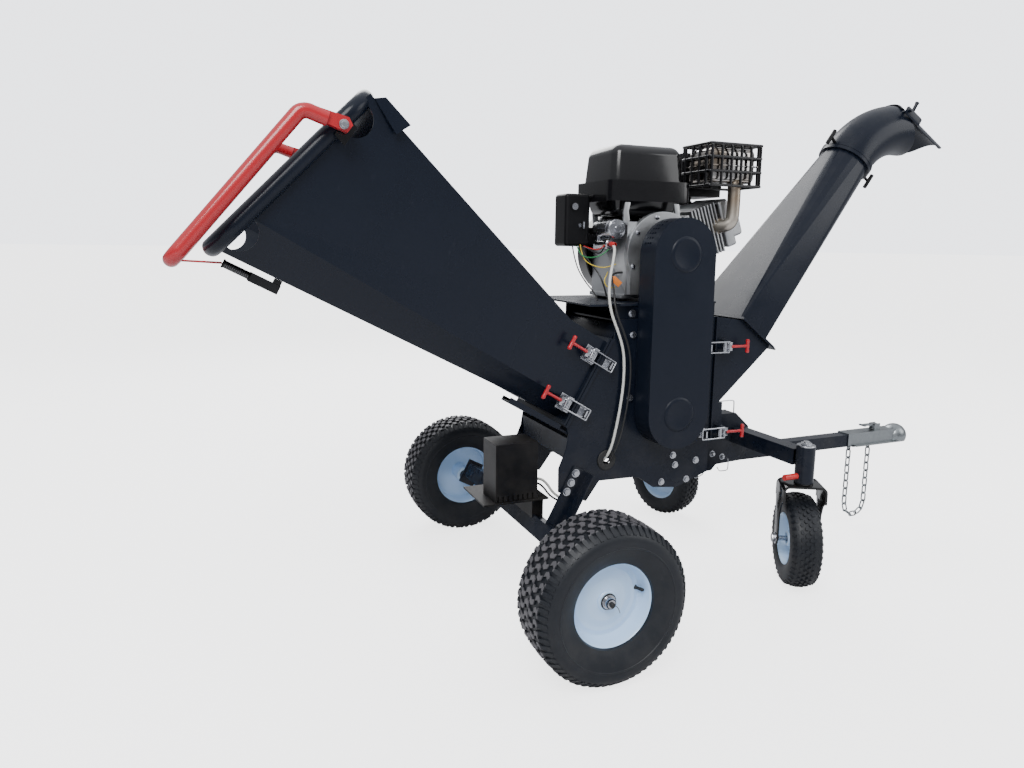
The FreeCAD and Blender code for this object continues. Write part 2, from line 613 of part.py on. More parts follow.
def flange_slab(a0, a1, n0, n1, y0, y1):
    (mx, mz), (ax, az), (nx, nz), _ = flange_frame()
    ring = [(mx + a * ax + n * nx, mz + a * az + n * nz) for a, n in ((a0, n0), (a1, n0), (a1, n1), (a0, n1))]
    return slab(ring, y0, y1)


def hood(latch_bases):
    """Discharge hood: closes the front of the rotor housing and carries the chute."""
    (mx, mz), (ax, az), _, length = flange_frame()
    half = length / 2
    rear = (mx - (half - 8) * ax, mz - (half - 8) * az)
    front = (mx + (half - 14) * ax, mz + (half - 14) * az)
    outer = slab([(HOOD_X, 530), (HOOD_X, 830), rear, front], -HOOD_Y, HOOD_Y)
    inner = slab([(HOOD_X - 5, 540), (HOOD_X - 5, 825), (rear[0], rear[1] - 5), (rear[0] + 40, rear[1] + 20),
                  (front[0] + 20, front[1] + 20), (front[0] - 5, front[1] - 2)], -HOOD_Y + SHEET, HOOD_Y - SHEET)
    rim_plate = flange_slab(-half, half, 0, 5, -175, 175).cut(flange_slab(-65, 62, -10, 10, -140, 140))
    lips = [block(HOOD_X, HOOD_X + 5, *sorted((side * (HOOD_Y - 8), side * 172)), 445, 830) for side in (1, -1)]
    cheeks = [block(HOOD_X, HOOD_X + 50, *sorted((side * (HOOD_Y - 6), side * HOOD_Y)), 445, 560) for side in (1, -1)]
    apron = block(HOOD_X, HOOD_X + 5, -HOOD_Y, HOOD_Y, 520, 541)
    whole = fused(outer.cut(inner), rim_plate, apron, *lips, *cheeks, *hood_hinge()[1])
    save("discharge_hood", whole, *latch_bases)


def spread(count, wide, long, corner):
    """Corners of a rounded rectangle, count to a quarter; corner 1 gives an ellipse."""
    out = []
    for k in range(4 * count):
        a = math.pi / 2 * (k + 0.5) / count
        c, s = math.cos(a), math.sin(a)
        out.append((wide * (corner * c + (1 - corner) * math.copysign(1, c)),
                    long * (corner * s + (1 - corner) * math.copysign(1, s))))
    return out


def chute_ring(grow):
    """Base and top outlines of the square-to-round chute."""
    (mx, mz), (ax, az), (nx, nz), _ = flange_frame()
    ex, ez = math.cos(math.radians(TOP_ANGLE)), math.sin(math.radians(TOP_ANGLE))
    base = [(mx + 5 * nx - a * ax, y, mz + 5 * nz - a * az)
            for y, a in spread(5, CHUTE_WIDE / 2 + grow, CHUTE_LEN / 2 + grow, 0.04)]
    top = [(TOP_X - a * ez, y, TOP_Z + a * ex) for y, a in spread(5, PIPE_R + grow, PIPE_R + grow, 1.0)]
    return base, top


def chute():
    base, top = chute_ring(0.0)
    low_in, top_in = chute_ring(-SHEET)
    ex, ez = math.cos(math.radians(TOP_ANGLE)), math.sin(math.radians(TOP_ANGLE))
    shell = loft(base, top).cut(loft(low_in, top_in))
    foot = flange_slab(-CHUTE_LEN / 2 - 18, CHUTE_LEN / 2 + 18, 5, 10, -168, 168)
    foot = foot.cut(flange_slab(-CHUTE_LEN / 2 + 4, CHUTE_LEN / 2 - 4, 0, 15, -CHUTE_WIDE / 2 + 4, CHUTE_WIDE / 2 - 4))
    collar = pipe((TOP_X - 6 * ex, 0, TOP_Z - 6 * ez), (ex, 0, ez), PIPE_R + 9, PIPE_R - SHEET, 12)
    neck_ring = pipe((TOP_X, 0, TOP_Z), (ex, 0, ez), PIPE_R - 2, PIPE_R - SHEET - 2, 26)
    save("chute", fused(shell, foot, collar, neck_ring))


def bend_frame():
    """Start of the elbow's bend and the centre of its arc, in (x, z)."""
    ex, ez = math.cos(math.radians(TOP_ANGLE)), math.sin(math.radians(TOP_ANGLE))
    lift = 6.0 + GAP
    sx, sz = TOP_X + lift * ex, TOP_Z + lift * ez
    return sx, sz, sx + BEND_R * ez, sz - BEND_R * ex


def hinge_place():
    """Hinge line (x, z) of the deflector, beside the elbow's outlet."""
    _, _, cx, cz = bend_frame()
    return cx - 48, cz + BEND_R + 50


def elbow():
    """Swivelling elbow on the chute's collar, cut off at a slant, with the deflector's hinge pins."""
    ex, ez = math.cos(math.radians(TOP_ANGLE)), math.sin(math.radians(TOP_ANGLE))
    sx, sz, cx, cz = bend_frame()
    outer, inner = PIPE_R + 4, PIPE_R
    torus = Part.makeTorus(BEND_R, outer, Vector(cx, 0, cz), Y)
    torus = torus.cut(Part.makeTorus(BEND_R, inner, Vector(cx, 0, cz), Y))
    wedge = slab([(cx, cz), (cx - 600 * ez, cz + 600 * ex), (cx - 200, cz + 900), (cx, cz + 900)], -200, 200)
    stub = pipe((cx, 0, cz + BEND_R), (1, 0, 0), outer, inner, 40)
    ring = pipe((sx, 0, sz), (ex, 0, ez), PIPE_R + 10, PIPE_R - 2 + GAP, 10)
    top = cz + BEND_R
    beyond = slab([(cx - 50, top + outer), (cx + 27, top - outer), (cx + 200, top - outer), (cx + 200, top + 200)],
                  -200, 200)
    whole = fused(ring, torus.common(wedge), stub).cut(beyond)
    hx, hz = hinge_place()
    for side in (1, -1):
        whole = whole.fuse(rod((hx, side * (PIPE_R - 15), hz), (0, side, 0), 5, 36))
    save("elbow", whole.cut(Part.makeTorus(BEND_R, inner, Vector(cx, 0, cz), Y).common(wedge)))


def deflector():
    """Arched flap hinged on the elbow's outlet, with its handle."""
    hx, hz = hinge_place()
    outer = PIPE_R + 8
    trough = pipe((hx - 10, 0, hz - 50), (1, 0, 0), outer, outer - 3, 250)
    trough = trough.cut(block(hx - 20, hx + 260, -200, 200, hz - 300, hz - 16))
    trough = trough.cut(block(hx - 20, hx + 60, -200, 200, hz - 300, hz + 5))
    arm = [trough]
    for side in (1, -1):
        arm.append(block(hx - 14, hx + 69, *sorted((side * (outer - 3), side * outer)), hz - 16, hz + 14))
        arm.append(block(hx + 64, hx + 69, *sorted((side * 72, side * outer)), hz - 16, hz + 14))
    arm = fused(*arm).cut(rod((hx, -200, hz), (0, 1, 0), 5 + FIT, 400))
    arm = arm.cut(rod((hx + 60, 0, hz - 50), (1, 0, 0), outer - 3, 12))
    low, high = hz - 50 - outer, hz - 50 + outer
    mouth_end = rod((hx - 60, 0, hz - 50), (1, 0, 0), PIPE_R + 5, 140).common(
        slab([(hx - 60, low), (hx + 79, low), (hx - 1, high), (hx - 60, high)], -outer, outer))
    for drop in (FLAP_DROP / 2, FLAP_DROP):
        arm = arm.cut(tilted(mouth_end, -drop, (hx, hz)))
    handle = bar((hx + 95, 0, hz + outer - 52), (hx + 95, 0, hz + outer + 30), 6)
    save("deflector", tilted(fused(arm, handle), FLAP_DROP, (hx, hz)))


def clamp_knobs():
    """Two T-handled clamp screws that hold the elbow's ring on the collar."""
    ex, ez = math.cos(math.radians(TOP_ANGLE)), math.sin(math.radians(TOP_ANGLE))
    for name, a in (("clamp_knob_upper", 100.0), ("clamp_knob_lower", 262.0)):
        cos, sin = math.cos(math.radians(a)), math.sin(math.radians(a))
        out = Vector(-ez * sin, cos, ex * sin)
        foot = Vector(TOP_X + 11 * ex, 0, TOP_Z + 11 * ez) + out * (PIPE_R + 10 + GAP)
        stem = Part.makeCylinder(5, 26, foot, out)
        wing = Vector(ex, 0, ez)
        grip = Part.makeCylinder(6.5, 52, foot + out * 28 - wing * 26, wing)
        save(name, fused(stem, grip))


# ---- engine -------------------------------------------------------------------------------------------
CYLINDER_TILT = 20.0
KX, KZ = ROTOR_X, CRANK_Z


def along_cylinder(r0, r1, half, y0, y1):
    """Box along the cylinder's axis, from r0 to r1 off the crankshaft."""
    return tilted(block(KX + r0, KX + r1, y0, y1, KZ - half, KZ + half), -CYLINDER_TILT, (KX, KZ))


def engine():
    case = fused(block(KX - 112, KX + 105, -112, 96, ENGINE_Z + 12, KZ + 92),
                 block(KX - 122, KX + 115, -104, 90, ENGINE_Z, ENGINE_Z + 12),
                 along_cylinder(60, 150, 70, -85, 80),
                 *[block(x, x + 14, y - 7, y + 7, KZ + 92, TANK_LOW) for x in (300, 440) for y in (-68, 68)])
    case = case.cut(rod((KX, -140, KZ), (0, 1, 0), 16, 260))

    cover = fused(rod((KX, -132, KZ), (0, 1, 0), 122, 20), block(KX - 112, KX + 98, -132, -112, ENGINE_Z + 12, KZ),
                  rod((KX, -146, KZ), (0, 1, 0), 52, 14))
    save("crankcase", case, cover.cut(rod((KX, -150, KZ), (0, 1, 0), 16, 60)))
    fins = [along_cylinder(158 + 12 * k, 163 + 12 * k, 78, -88, 84) for k in range(8)]
    core = along_cylinder(150.1, 262, 52, -62, 60)
    head = fused(along_cylinder(262.1, 300, 74, -86, 82), along_cylinder(300, 345, 55, -66, 62))
    save("cylinder", fused(core, *fins), head)
    shroud = fused(rod((KX, 96.1, KZ), (0, 1, 0), FAN_R, 62), rod((KX, 158, KZ), (0, 1, 0), 96, 26))
    rope_x, rope_z, face_y = KX - 55, KZ + 50, 184.0
    save("recoil_shroud", shroud.cut(rod((rope_x, 97, rope_z), (0, 1, 0), 3.5, 100)))
    grip_y = face_y + GAP + 9
    save("recoil_handle", fused(rod((rope_x, 98, rope_z), (0, 1, 0), 3.0, grip_y - 98),
                                bar((rope_x - 32, grip_y, rope_z), (rope_x + 32, grip_y, rope_z), 9)))
    fuel_tank()
    intake()
    exhaust()
    starter()
    controls()
    save("engine_plate", *engine_plate())


def engine_plate():
    deck = block(132, HOUSING_X, -190, 180, PLATE_Z - PLATE_T, PLATE_Z)
    deck = deck.cut(block(285, HOUSING_X + 1, -191, -PLATE_Y, PLATE_Z - 10, PLATE_Z + 1))
    deck = deck.cut(block(188, 228, -191, -168, PLATE_Z - 10, PLATE_Z + 1))
    inner = PLATE_Y - PLATE_T
    webs = [block(232, HOUSING_X, *sorted((side * inner, side * (inner - 6))), 806, PLATE_Z - PLATE_T)
            for side in (1, -1)]
    standoffs = [block(320, 340, -COVER_BACK + 4, -inner, z, z + 30) for z in (832,)]
    pads = [rod((KX + dx, dy, PLATE_Z), (0, 0, 1), 16, ENGINE_Z - PLATE_Z) for dx in (-95, 80) for dy in (-70, 60)]
    return fused(deck, *webs, *standoffs), *pads


def fuel_tank():
    x0, x1, y0, y1 = 238.0, 504.0, -110.0, 112.0
    low, seam_z, top = TANK_LOW, 1194.0, 1328.0
    def ring(grow_x, grow_y, z, cut):
        a0, a1, b0, b1 = x0 - grow_x, x1 + grow_x, y0 - grow_y, y1 + grow_y
        return [(a0 + cut, b0, z), (a1 - cut, b0, z), (a1, b0 + cut, z), (a1, b1 - cut, z), (a1 - cut, b1, z),
                (a0 + cut, b1, z), (a0, b1 - cut, z), (a0, b0 + cut, z)]
    body = fused(loft(ring(-30, -30, low, 22), ring(-2, -2, seam_z - 3, 30)),
                 loft(ring(6, 6, seam_z - 3, 34), ring(6, 6, seam_z + 3, 34)),
                 loft(ring(-2, -2, seam_z + 3, 30), ring(-14, -16, top - 24, 36)),
                 loft(ring(-14, -16, top - 24, 36), ring(-52, -46, top, 40)))
    save("fuel_tank", body.cut(rod((KX - 40, 40, top - 20), (0, 0, 1), 24, 40)))
    cap = fused(rod((KX - 40, 40, top + GAP), (0, 0, 1), 32, 12), rod((KX - 40, 40, top - 14), (0, 0, 1), 24 - FIT, 15))
    save("fuel_cap", cap)


def intake():
    cleaner = fused(block(560, 712, 20, 160, 1196, 1316), block(574, 698, 32, 148, 1316, 1330))
    elbow_duct = block(600, 650, 90, 140, 1186, 1196)
    bowl = fused(block(596, 654, 90, 140, 1110, 1186), rod((625, 115, 1084), (0, 0, 1), 20, 26),
                 block(606, 644, 84, 90, 1120, 1160))
    save("air_cleaner", fused(cleaner, elbow_duct), bowl)


def exhaust():
    can = rounded(block(553, 718, -137, -17, 1228, 1330), 18)
    pipe_x, pipe_y = 658.0, -116.0
    port = block(pipe_x - 18, pipe_x + 18, pipe_y + 14, -86, 1094, 1130)
    save("muffler", can, fused(rod((pipe_x, pipe_y, 1092), (0, 0, 1), 18, 136), port))
    near, far, x0, x1, z0, z1 = -150.0, -4.0, 538.0, 733.0, 1216.0, 1343.0
    wires = []
    for z in (z0 + 2, z0 + 43, z0 + 84, z1 - 3):
        wires += [block(x0, x1, near, near + 4, z - 2, z + 2), block(x0, x1, far - 4, far, z - 2, z + 2),
                  block(x0, x0 + 4, near, far, z - 2, z + 2), block(x1 - 4, x1, near, far, z - 2, z + 2)]
    for k in range(6):
        x = x0 + (x1 - x0 - 4) * k / 5
        wires += [block(x, x + 4, near, near + 4, z0, z1 - 1), block(x, x + 4, far - 4, far, z0, z1 - 1)]
        wires += [block(x, x + 4, near, far, z1 - 5, z1 - 1)]
    for k in range(5):
        y = near + (far - near - 4) * k / 4
        wires += [block(x0, x0 + 4, y, y + 4, z0, z1 - 1), block(x1 - 4, x1, y, y + 4, z0, z1 - 1)]
        wires += [block(x0, x1, y, y + 4, z1 - 5, z1 - 1)]
    feet = [block(x, x + 12, -84, -64, z0 + 4, 1228) for x in (570, 690)]
    save("muffler_cage", fused(*wires, *[block(x0, x1, -78, -70, z0, z0 + 4)], *feet))


def rounded(shape, radius):
    return shape.makeFillet(radius, shape.Edges)


def starter():
    sx, sz = 257.0, 1085.0
    motor = fused(rod((sx, -116, sz), (0, 1, 0), 29, 112), rod((sx, -121, sz), (0, 1, 0), 9, 6))
    solenoid = rod((sx - 16, -100, sz - 44), (0, 1, 0), 15, 70)
    mount = block(sx - 20, KX - 112, -30, -4, sz - 60, sz + 20)
    save("starter_motor", fused(motor, solenoid, mount))


def controls():
    near = 0.0
    box = rounded(block(146, 228, near, 80, 1034, 1188), 10)
    box = box.cut(rod((172, near - 2, 1150), (0, 1, 0), 8 + FIT, 20))
    box = box.cut(rod((194, near - 2, 1096), (0, 1, 0), 7 + FIT, 16))
    arm = block(228, KX - 112, 10, 50, 1040, 1070)
    save("control_box", fused(box, arm), throttle())
    save("start_button", fused(rod((172, near - 8, 1150), (0, 1, 0), 8, 19), rod((172, near - 9, 1150), (0, 1, 0), 10, 3)))
    save("key_switch", fused(rod((194, near - 4, 1096), (0, 1, 0), 7, 12),
                             block(191.5, 196.5, near - 24, near - 4, 1086, 1106)))


def throttle():
    """Throttle lever; returns the bracket that carries it."""
    px, pz, y = 222.0, 1084.0, 96.0
    lever = fused(block(px - 6, px + 6, y, y + 3, pz - 10, pz + 58), rod((px, y - 4, pz + 56), (0, 1, 0), 8, 12))
    save("throttle_lever", lever.cut(rod((px, 40, pz), (0, 1, 0), 4 + FIT, 80)))
    return fused(rod((px, 86, pz), (0, 1, 0), 4, 18), block(px - 8, KX - 112, 86, y - GAP, pz - 10, pz + 8))


def crank():
    """Crankshaft stub with the clutch drum and drive pulley; belt driven side at -Y."""
    shaft = rod((KX, -232, KZ), (0, 1, 0), 16 - FIT, 232 + 90)
    drum = pipe((KX, -188, KZ), (0, 1, 0), 58, 16 - FIT, 10)
    save("crankshaft", fused(shaft, turned(grooves(HIGH_PULLEY), (KX, -210, KZ), (0, 1, 0)), drum))


# ---- front end ----------------------------------------------------------------------------------------
def heading_box(side, a0, a1, n0, n1, z0, z1):
    """Box in a caster's own frame: a along its heading, n to its left, turned to its rest angle."""
    degrees = CASTER_LEFT if side > 0 else CASTER_RIGHT
    y = side * STEM_Y
    return spun(block(STEM_X + a0, STEM_X + a1, y + n0, y + n1, z0, z1), degrees, (STEM_X, y))


def caster(side):
    name = side_name(side)
    degrees = CASTER_LEFT if side > 0 else CASTER_RIGHT
    a = math.radians(degrees)
    ahead, across = Vector(math.cos(a), math.sin(a), 0), Vector(-math.sin(a), math.cos(a), 0)
    y = side * STEM_Y
    trail = CASTER_TRAIL
    centre = Vector(STEM_X, y, CASTER_R) + ahead * trail
    arm = 58.0
    top = heading_box(side, -34, trail + 34, -arm - 6, arm + 6, STEM_LOW - 14, STEM_LOW - 6)
    parts = [top]
    for n in (-1, 1):
        n0, n1 = sorted((n * arm, n * (arm + 6)))
        cheek = heading_box(side, -30, trail + 30, n0, n1, STEM_LOW - 60, STEM_LOW - 14)
        drop = heading_box(side, trail - 20, trail + 20, n0, n1, CASTER_R, STEM_LOW - 60)
        foot = centre + across * n0
        parts += [cheek, drop, Part.makeCylinder(20, 6, foot, across)]
    head = rod((STEM_X, y, STEM_LOW - 6), (0, 0, 1), STEM_R, 6 - GAP)
    pin = rod((STEM_X, y, STEM_LOW - 6), (0, 0, 1), PIN_R - FIT, STEM_TOP + 14 - STEM_LOW + 6)
    groove = pipe((STEM_X, y, STEM_LOW + 15), (0, 0, 1), PIN_R + 1, NECK_R, 14)
    pin = pin.cut(groove)
    nut = rod((STEM_X, y, STEM_TOP + GAP), (0, 0, 1), 27, 4).fuse(rod((STEM_X, y, STEM_TOP + 4), (0, 0, 1), 15, 12))
    axle_pin = Part.makeCylinder(8, 2 * arm + 36, centre - across * (arm + 18), across)
    ends = [Part.makeCylinder(13, 9, centre + across * n, across) for n in (arm + 6, -arm - 15)]
    save("caster_fork_" + name, fused(*parts, head, pin, nut, axle_pin, *ends))
    way = (across.x, across.y, across.z)
    middle = (centre.x, centre.y, centre.z)
    solids = (rim(CASTER_RIM, 36, 8 + FIT, 20, 48, 48, 6), tyre(CASTER_R, CASTER_W, CASTER_RIM, 36))
    save("caster_wheel_" + name, *[placed(solid, middle, way) for solid in solids])


def caster_beam():
    half = STEM_Y - STEM_R + 2
    low, high = BEAM_Z - BEAM / 2, BEAM_Z + BEAM / 2
    tube = block(STEM_X - BEAM / 2, STEM_X + BEAM / 2, -half, half, low, high)
    tube = tube.cut(block(STEM_X - BEAM / 2 + 4, STEM_X + BEAM / 2 - 4, -half, half, low + 4, high - 4))
    stems = []
    for side in (1, -1):
        stems.append(rod((STEM_X, side * STEM_Y, STEM_LOW), (0, 0, 1), STEM_R, STEM_TOP - STEM_LOW))
    beam = fused(tube, *stems)
    for side in (1, -1):
        beam = beam.cut(rod((STEM_X, side * STEM_Y, STEM_LOW - 5), (0, 0, 1), PIN_R, 200))
        beam = beam.cut(rod((STEM_X - 60, side * STEM_Y, STEM_LOW + 22), (1, 0, 0), 6 + FIT, 42))
    save("caster_beam", beam)
    for side in (1, -1):
        y = side * STEM_Y
        grip = fused(rod((STEM_X - 76, y, STEM_LOW + 22), (1, 0, 0), 9, 47),
                     rod((STEM_X - 50, y, STEM_LOW + 22), (1, 0, 0), 6, 50 - NECK_R - 1))
        save("swivel_lock_" + side_name(side), grip)


def tow_bracket():
    """Two nose plates welded to the chassis; they hold the caster beam and the tow bar."""
    outline = [(HOUSING_X, 350), (640, 292), (700, 294), (718, 313), (820, 318), (846, 360), (846, 436),
               (790, 486), (700, 486), (HOUSING_X, 430)]
    tube = (STEM_X - BEAM / 2, STEM_X + BEAM / 2, -400, 400, BEAM_Z - BEAM / 2, BEAM_Z + BEAM / 2)
    plates = []
    for side in (1, -1):
        y0, y1 = sorted((side * PLATE_GAP, side * (PLATE_GAP + 6)))
        plate = slab(outline, y0, y1).cut(block(*tube))
        plates.append(plate.cut(rod((741, -60, TOW_Z), (0, 1, 0), 8 + FIT, 120)))
    bridge = block(600, 690, -PLATE_GAP, PLATE_GAP, 420, 426)
    cap = block(700, 788, -PLATE_GAP, PLATE_GAP, 478, 486)
    save("tow_bracket", fused(plates[0], bridge, cap, plates[1]))


def tow_bar():
    half = BAR_TUBE / 2
    tube = block(TOW_REAR, TOW_FRONT, -half, half, TOW_Z - half, TOW_Z + half)
    tube = tube.cut(block(TOW_REAR, TOW_FRONT, -half + 4, half - 4, TOW_Z - half + 4, TOW_Z + half - 4))
    save("tow_bar", tube.cut(rod((741, -60, TOW_Z), (0, 1, 0), 8 + FIT, 120)))
    x0, x1 = TOW_FRONT - 44, TOW_FRONT + 262
    wide = half + 4
    channel = block(x0, x1 - 60, -wide, wide, TOW_Z - half + 4, TOW_Z + half + 4)
    channel = channel.cut(block(x0 - 1, TOW_FRONT + 40, -half, half, TOW_Z - half - 5, TOW_Z + half))
    channel = channel.cut(block(TOW_FRONT + 30, x1 - 56, -wide + 5, wide - 5, TOW_Z - half - 1, TOW_Z + half - 2))
    dome = Part.makeSphere(44, Vector(x1 - 46, 0, TOW_Z - 4)).cut(Part.makeSphere(29, Vector(x1 - 46, 0, TOW_Z - 10)))
    dome = dome.cut(block(x1 - 120, x1 + 20, -80, 80, TOW_Z - 90, TOW_Z - 22))
    room = rod((x1 - 46, 0, TOW_Z - 30), (0, 0, 1), 29, 20)
    skirt = block(x0 + 30, x1 - 46, -wide - 12, wide + 12, TOW_Z - half, TOW_Z - half + 5)
    skirt = skirt.cut(block(x0, x1 - 60, -half, half, TOW_Z - 60, TOW_Z))
    body = fused(channel, dome, skirt).cut(room)
    slot = block(x1 - 170, x1 - 128, -5, 5, TOW_Z, TOW_Z + 60)
    pivot = (x1 - 150, TOW_Z + half + 18)
    ears = [block(pivot[0] - 14, pivot[0] + 14, *sorted((side * 9, side * 13)), TOW_Z + half + 3, TOW_Z + half + 28)
            for side in (1, -1)]
    pin = rod((pivot[0], -13, pivot[1]), (0, 1, 0), 4, 26)
    radius = CHAIN_PITCH / 2 / math.sin(math.pi / 2 / CHAIN_BEND)
    eye_z = TOW_Z - half + CHAIN_DROP + 4.0
    for x in (CHAIN_X - radius, CHAIN_X + radius):
        lug = slab([(x - 8, TOW_Z - half - 3), (x + 8, TOW_Z - half - 3), (x + 6, eye_z - 7), (x - 6, eye_z - 7)],
                   -2.5, 2.5)
        ears.append(lug.cut(rod((x, -5, eye_z), (0, 1, 0), 4, 10)))
        ears.append(block(x - 8, x + 8, -wide, wide, TOW_Z - half - 3, TOW_Z - half))
    save("coupler", fused(body.cut(slot), *ears, pin))
    lever = fused(block(pivot[0] - 62, pivot[0] + 8, -8, 8, pivot[1] + 3, pivot[1] + 9),
                  block(pivot[0] - 8, pivot[0] + 8, -8, 8, pivot[1] - 7, pivot[1] + 4))
    lever = lever.fuse(block(pivot[0] - 66, pivot[0] - 58, -14, 14, pivot[1] + 3, pivot[1] + 9))
    save("coupler_latch", lever.cut(rod((pivot[0], -20, pivot[1]), (0, 1, 0), 4 + FIT, 40)))


CHAIN_X, CHAIN_PITCH, CHAIN_BEND, CHAIN_DROP = 1398.0, 30.0, 5, -20.0


def link(centre, way, turn):
    """One oval chain link, long along way."""
    wire, half, inside = 2.6, 9.5, 5.6
    ends = []
    for s in (1, -1):
        ring = Part.makeTorus(inside + wire, wire, Vector(s * half, 0, 0), Z)
        ends.append(ring.common(block(*sorted((s * half, s * (half + 20))), -20, 20, -5, 5)))
    sides = [bar((-half, s * (inside + wire), 0), (half, s * (inside + wire), 0), wire) for s in (1, -1)]
    shape = fused(*ends, *sides)
    spin = FreeCAD.Rotation(X, turn)
    shape.Placement = FreeCAD.Placement(Vector(*centre), FreeCAD.Rotation(X, Vector(*way)).multiply(spin))
    return shape


def safety_chain():
    """Chain hung in a U from two lugs under the coupler: straight strands and a half ring of links."""
    z, down = TOW_Z - BAR_TUBE / 2 + CHAIN_DROP, 7
    radius = CHAIN_PITCH / 2 / math.sin(math.pi / 2 / CHAIN_BEND)
    middle, low = CHAIN_X, z - down * CHAIN_PITCH
    left = [(middle - radius, z - k * CHAIN_PITCH) for k in range(down)]
    bend = [(middle - radius * math.cos(math.pi * k / CHAIN_BEND), low - radius * math.sin(math.pi * k / CHAIN_BEND))
            for k in range(CHAIN_BEND + 1)]
    right = [(middle + radius, z - k * CHAIN_PITCH) for k in reversed(range(down))]
    stops = left + bend + right
    links = []
    for k, ((x0, z0), (x1, z1)) in enumerate(zip(stops, stops[1:])):
        links.append(link(((x0 + x1) / 2, 0, (z0 + z1) / 2), (x1 - x0, 0, z1 - z0), 90 * (k % 2)))
    save("safety_chain", *links)


# ---- battery, cables, fasteners -----------------------------------------------------------------------
def battery():
    """Battery in its open-bottomed cover, on the bracket that is bolted to the axle tube."""
    shell = block(-128, 0, -152, -52, 324, 490).cut(block(-125, -3, -149, -55, 320, 487))
    for k in range(8):
        x = -122 + 15 * k
        shell = shell.cut(block(x, x + 4, -160, -146, 318, 342))
    cell = block(-120, -8, -144, -60, 324, 470)
    plate = block(-164, 34, -156, 20, 318, 324)
    _, cz = axle_frame()
    strap = block(-2, 34, -120, 20, cz + 10, 320).cut(axle_tube_space())
    save("battery_box", shell, cell, fused(plate, strap))


def cables():
    """Battery leads: out of the starter, down the right side plate, in through its hole, to the battery."""
    white = [(241, -100, 1041), (241, -126, 1041), (226, -150, 1006), (206, -165, 952), (197, -177, 900),
             (206, -178, 850), (230, -177, 800), (251, -177, 745), (256, -177, 690), (254, -177, 630), (246, -177, 570),
             (236, -177, 515), (224, -177, 464), (214, -170, 432), (206, -142, 404), (198, -126, 356),
             (178, -122, 314), (140, -120, 294), (96, -118, 298), (66, -116, 320), (46, -115, 352), (24, -114, 370),
             (0, -114, 370)]
    black = [(290, -90, 960), (266, -90, 960), (246, -106, 950), (232, -134, 932), (222, -164, 906),
             (214, -182, 876), (222, -189, 838), (244, -189, 795), (265, -189, 740), (271, -189, 685), (268, -189, 625),
             (260, -189, 565), (248, -189, 510), (234, -187, 460), (221, -174, 422), (212, -146, 390),
             (206, -112, 348), (184, -106, 306), (144, -102, 282), (98, -100, 284), (64, -98, 306),
             (44, -96, 336), (22, -95, 352), (0, -95, 352)]
    save("battery_cables", bent_path(white, 4.0), bent_path(black, 3.0))


def bent_path(points, radius):
    """Cable along straight runs joined by arcs as large as the shorter run allows."""
    pts = [Vector(*p) for p in points]
    edges, last = [], pts[0]
    for i in range(1, len(pts) - 1):
        a, b, c = pts[i - 1], pts[i], pts[i + 1]
        to_a, to_c = a - b, c - b
        reach = 0.45 * min(to_a.Length, to_c.Length)
        to_a.normalize()
        to_c.normalize()
        turn = math.pi - to_a.getAngle(to_c)
        bend = reach / math.tan(turn / 2)
        start, end = b + to_a * reach, b + to_c * reach
        middle = b + (to_a + to_c).normalize() * (bend / math.cos(turn / 2) - bend)
        edges.append(Part.LineSegment(last, start).toShape())
        edges.append(Part.Arc(start, middle, end).toShape())
        last = end
    edges.append(Part.LineSegment(last, pts[-1]).toShape())
    path = Part.Wire(edges)
    circle = Part.Wire(Part.makeCircle(radius, pts[0], pts[1] - pts[0]))
    return path.makePipeShell([circle], True, True)


PLATE_BOLTS = [(454, 379), (407, 330), (498, 329), (530, 386), (445, 410), (288, 784), (285, 599)]
LEG_BOLTS = (129.0, 158.0, 188.0)


def fasteners(keepers):
    """Bolt heads on both sides, hub washers and the latch keepers."""
    out = list(keepers)
    outer = PLATE_Y + PLATE_T
    cx, cz = axle_frame()
    s, c = math.sin(math.radians(AXLE_TILT)), math.cos(math.radians(AXLE_TILT))
    washer = WHEEL_Y + HUB_OUT + GAP
    for side in (1, -1):
        way = (0, side, 0)
        for x, z in PLATE_BOLTS:
            out.append(bolt_head((x, side * PLATE_Y, z), way, 8))
        for b in LEG_BOLTS:
            out.append(bolt_head((cx + 9 * c + b * s, side * outer, cz - 9 * s + b * c), way, 9))
        out.append(bolt_head((286, side * (PLATE_Y - PLATE_T), 845), way, 9))
        out.append(pipe((0, side * washer, WHEEL_R), way, 17, SPINDLE_R, 3))
    save("fasteners", *out)


def build():
    for side in (1, -1):
        big_wheel(side)
        caster(side)
    keepers, hopper_bases, hood_bases = latches()
    for make in (axle, legs, side_plates, neck, housing, rotor, belt_cover, belts, hopper, control_bar, chute, elbow,
                 deflector, clamp_knobs, engine, crank, caster_beam, tow_bracket, tow_bar, safety_chain, battery,
                 cables):
        make()
    save("hopper_fittings", *bar_pivots(), *hopper_bases)
    hood(hood_bases)
    fasteners(keepers)
    os.makedirs("parts", exist_ok=True)
    for name, shapes in PARTS.items():
        whole = Part.makeCompound([shape.copy() for shape in shapes])
        whole.translate(Vector(AXLE_X, 0, 0))
        whole.exportStep("parts/" + name + ".step")
    print(len(PARTS), "nodes")


build()
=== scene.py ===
"""Looks of a towable wood chipper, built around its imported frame: finishes, tyres, engine, leads and small fittings.

Lengths are metres.  Places are given from the rear axle line in X, from the middle in Y and from the ground
in Z; spot() turns them into the frame, whose origin lies under the middle of the machine.
"""
import json
from math import atan2, cos, hypot, pi, radians, sin

import bpy
from bpy.props import FloatProperty, FloatVectorProperty, IntProperty, PointerProperty
from mathutils import Matrix, Vector

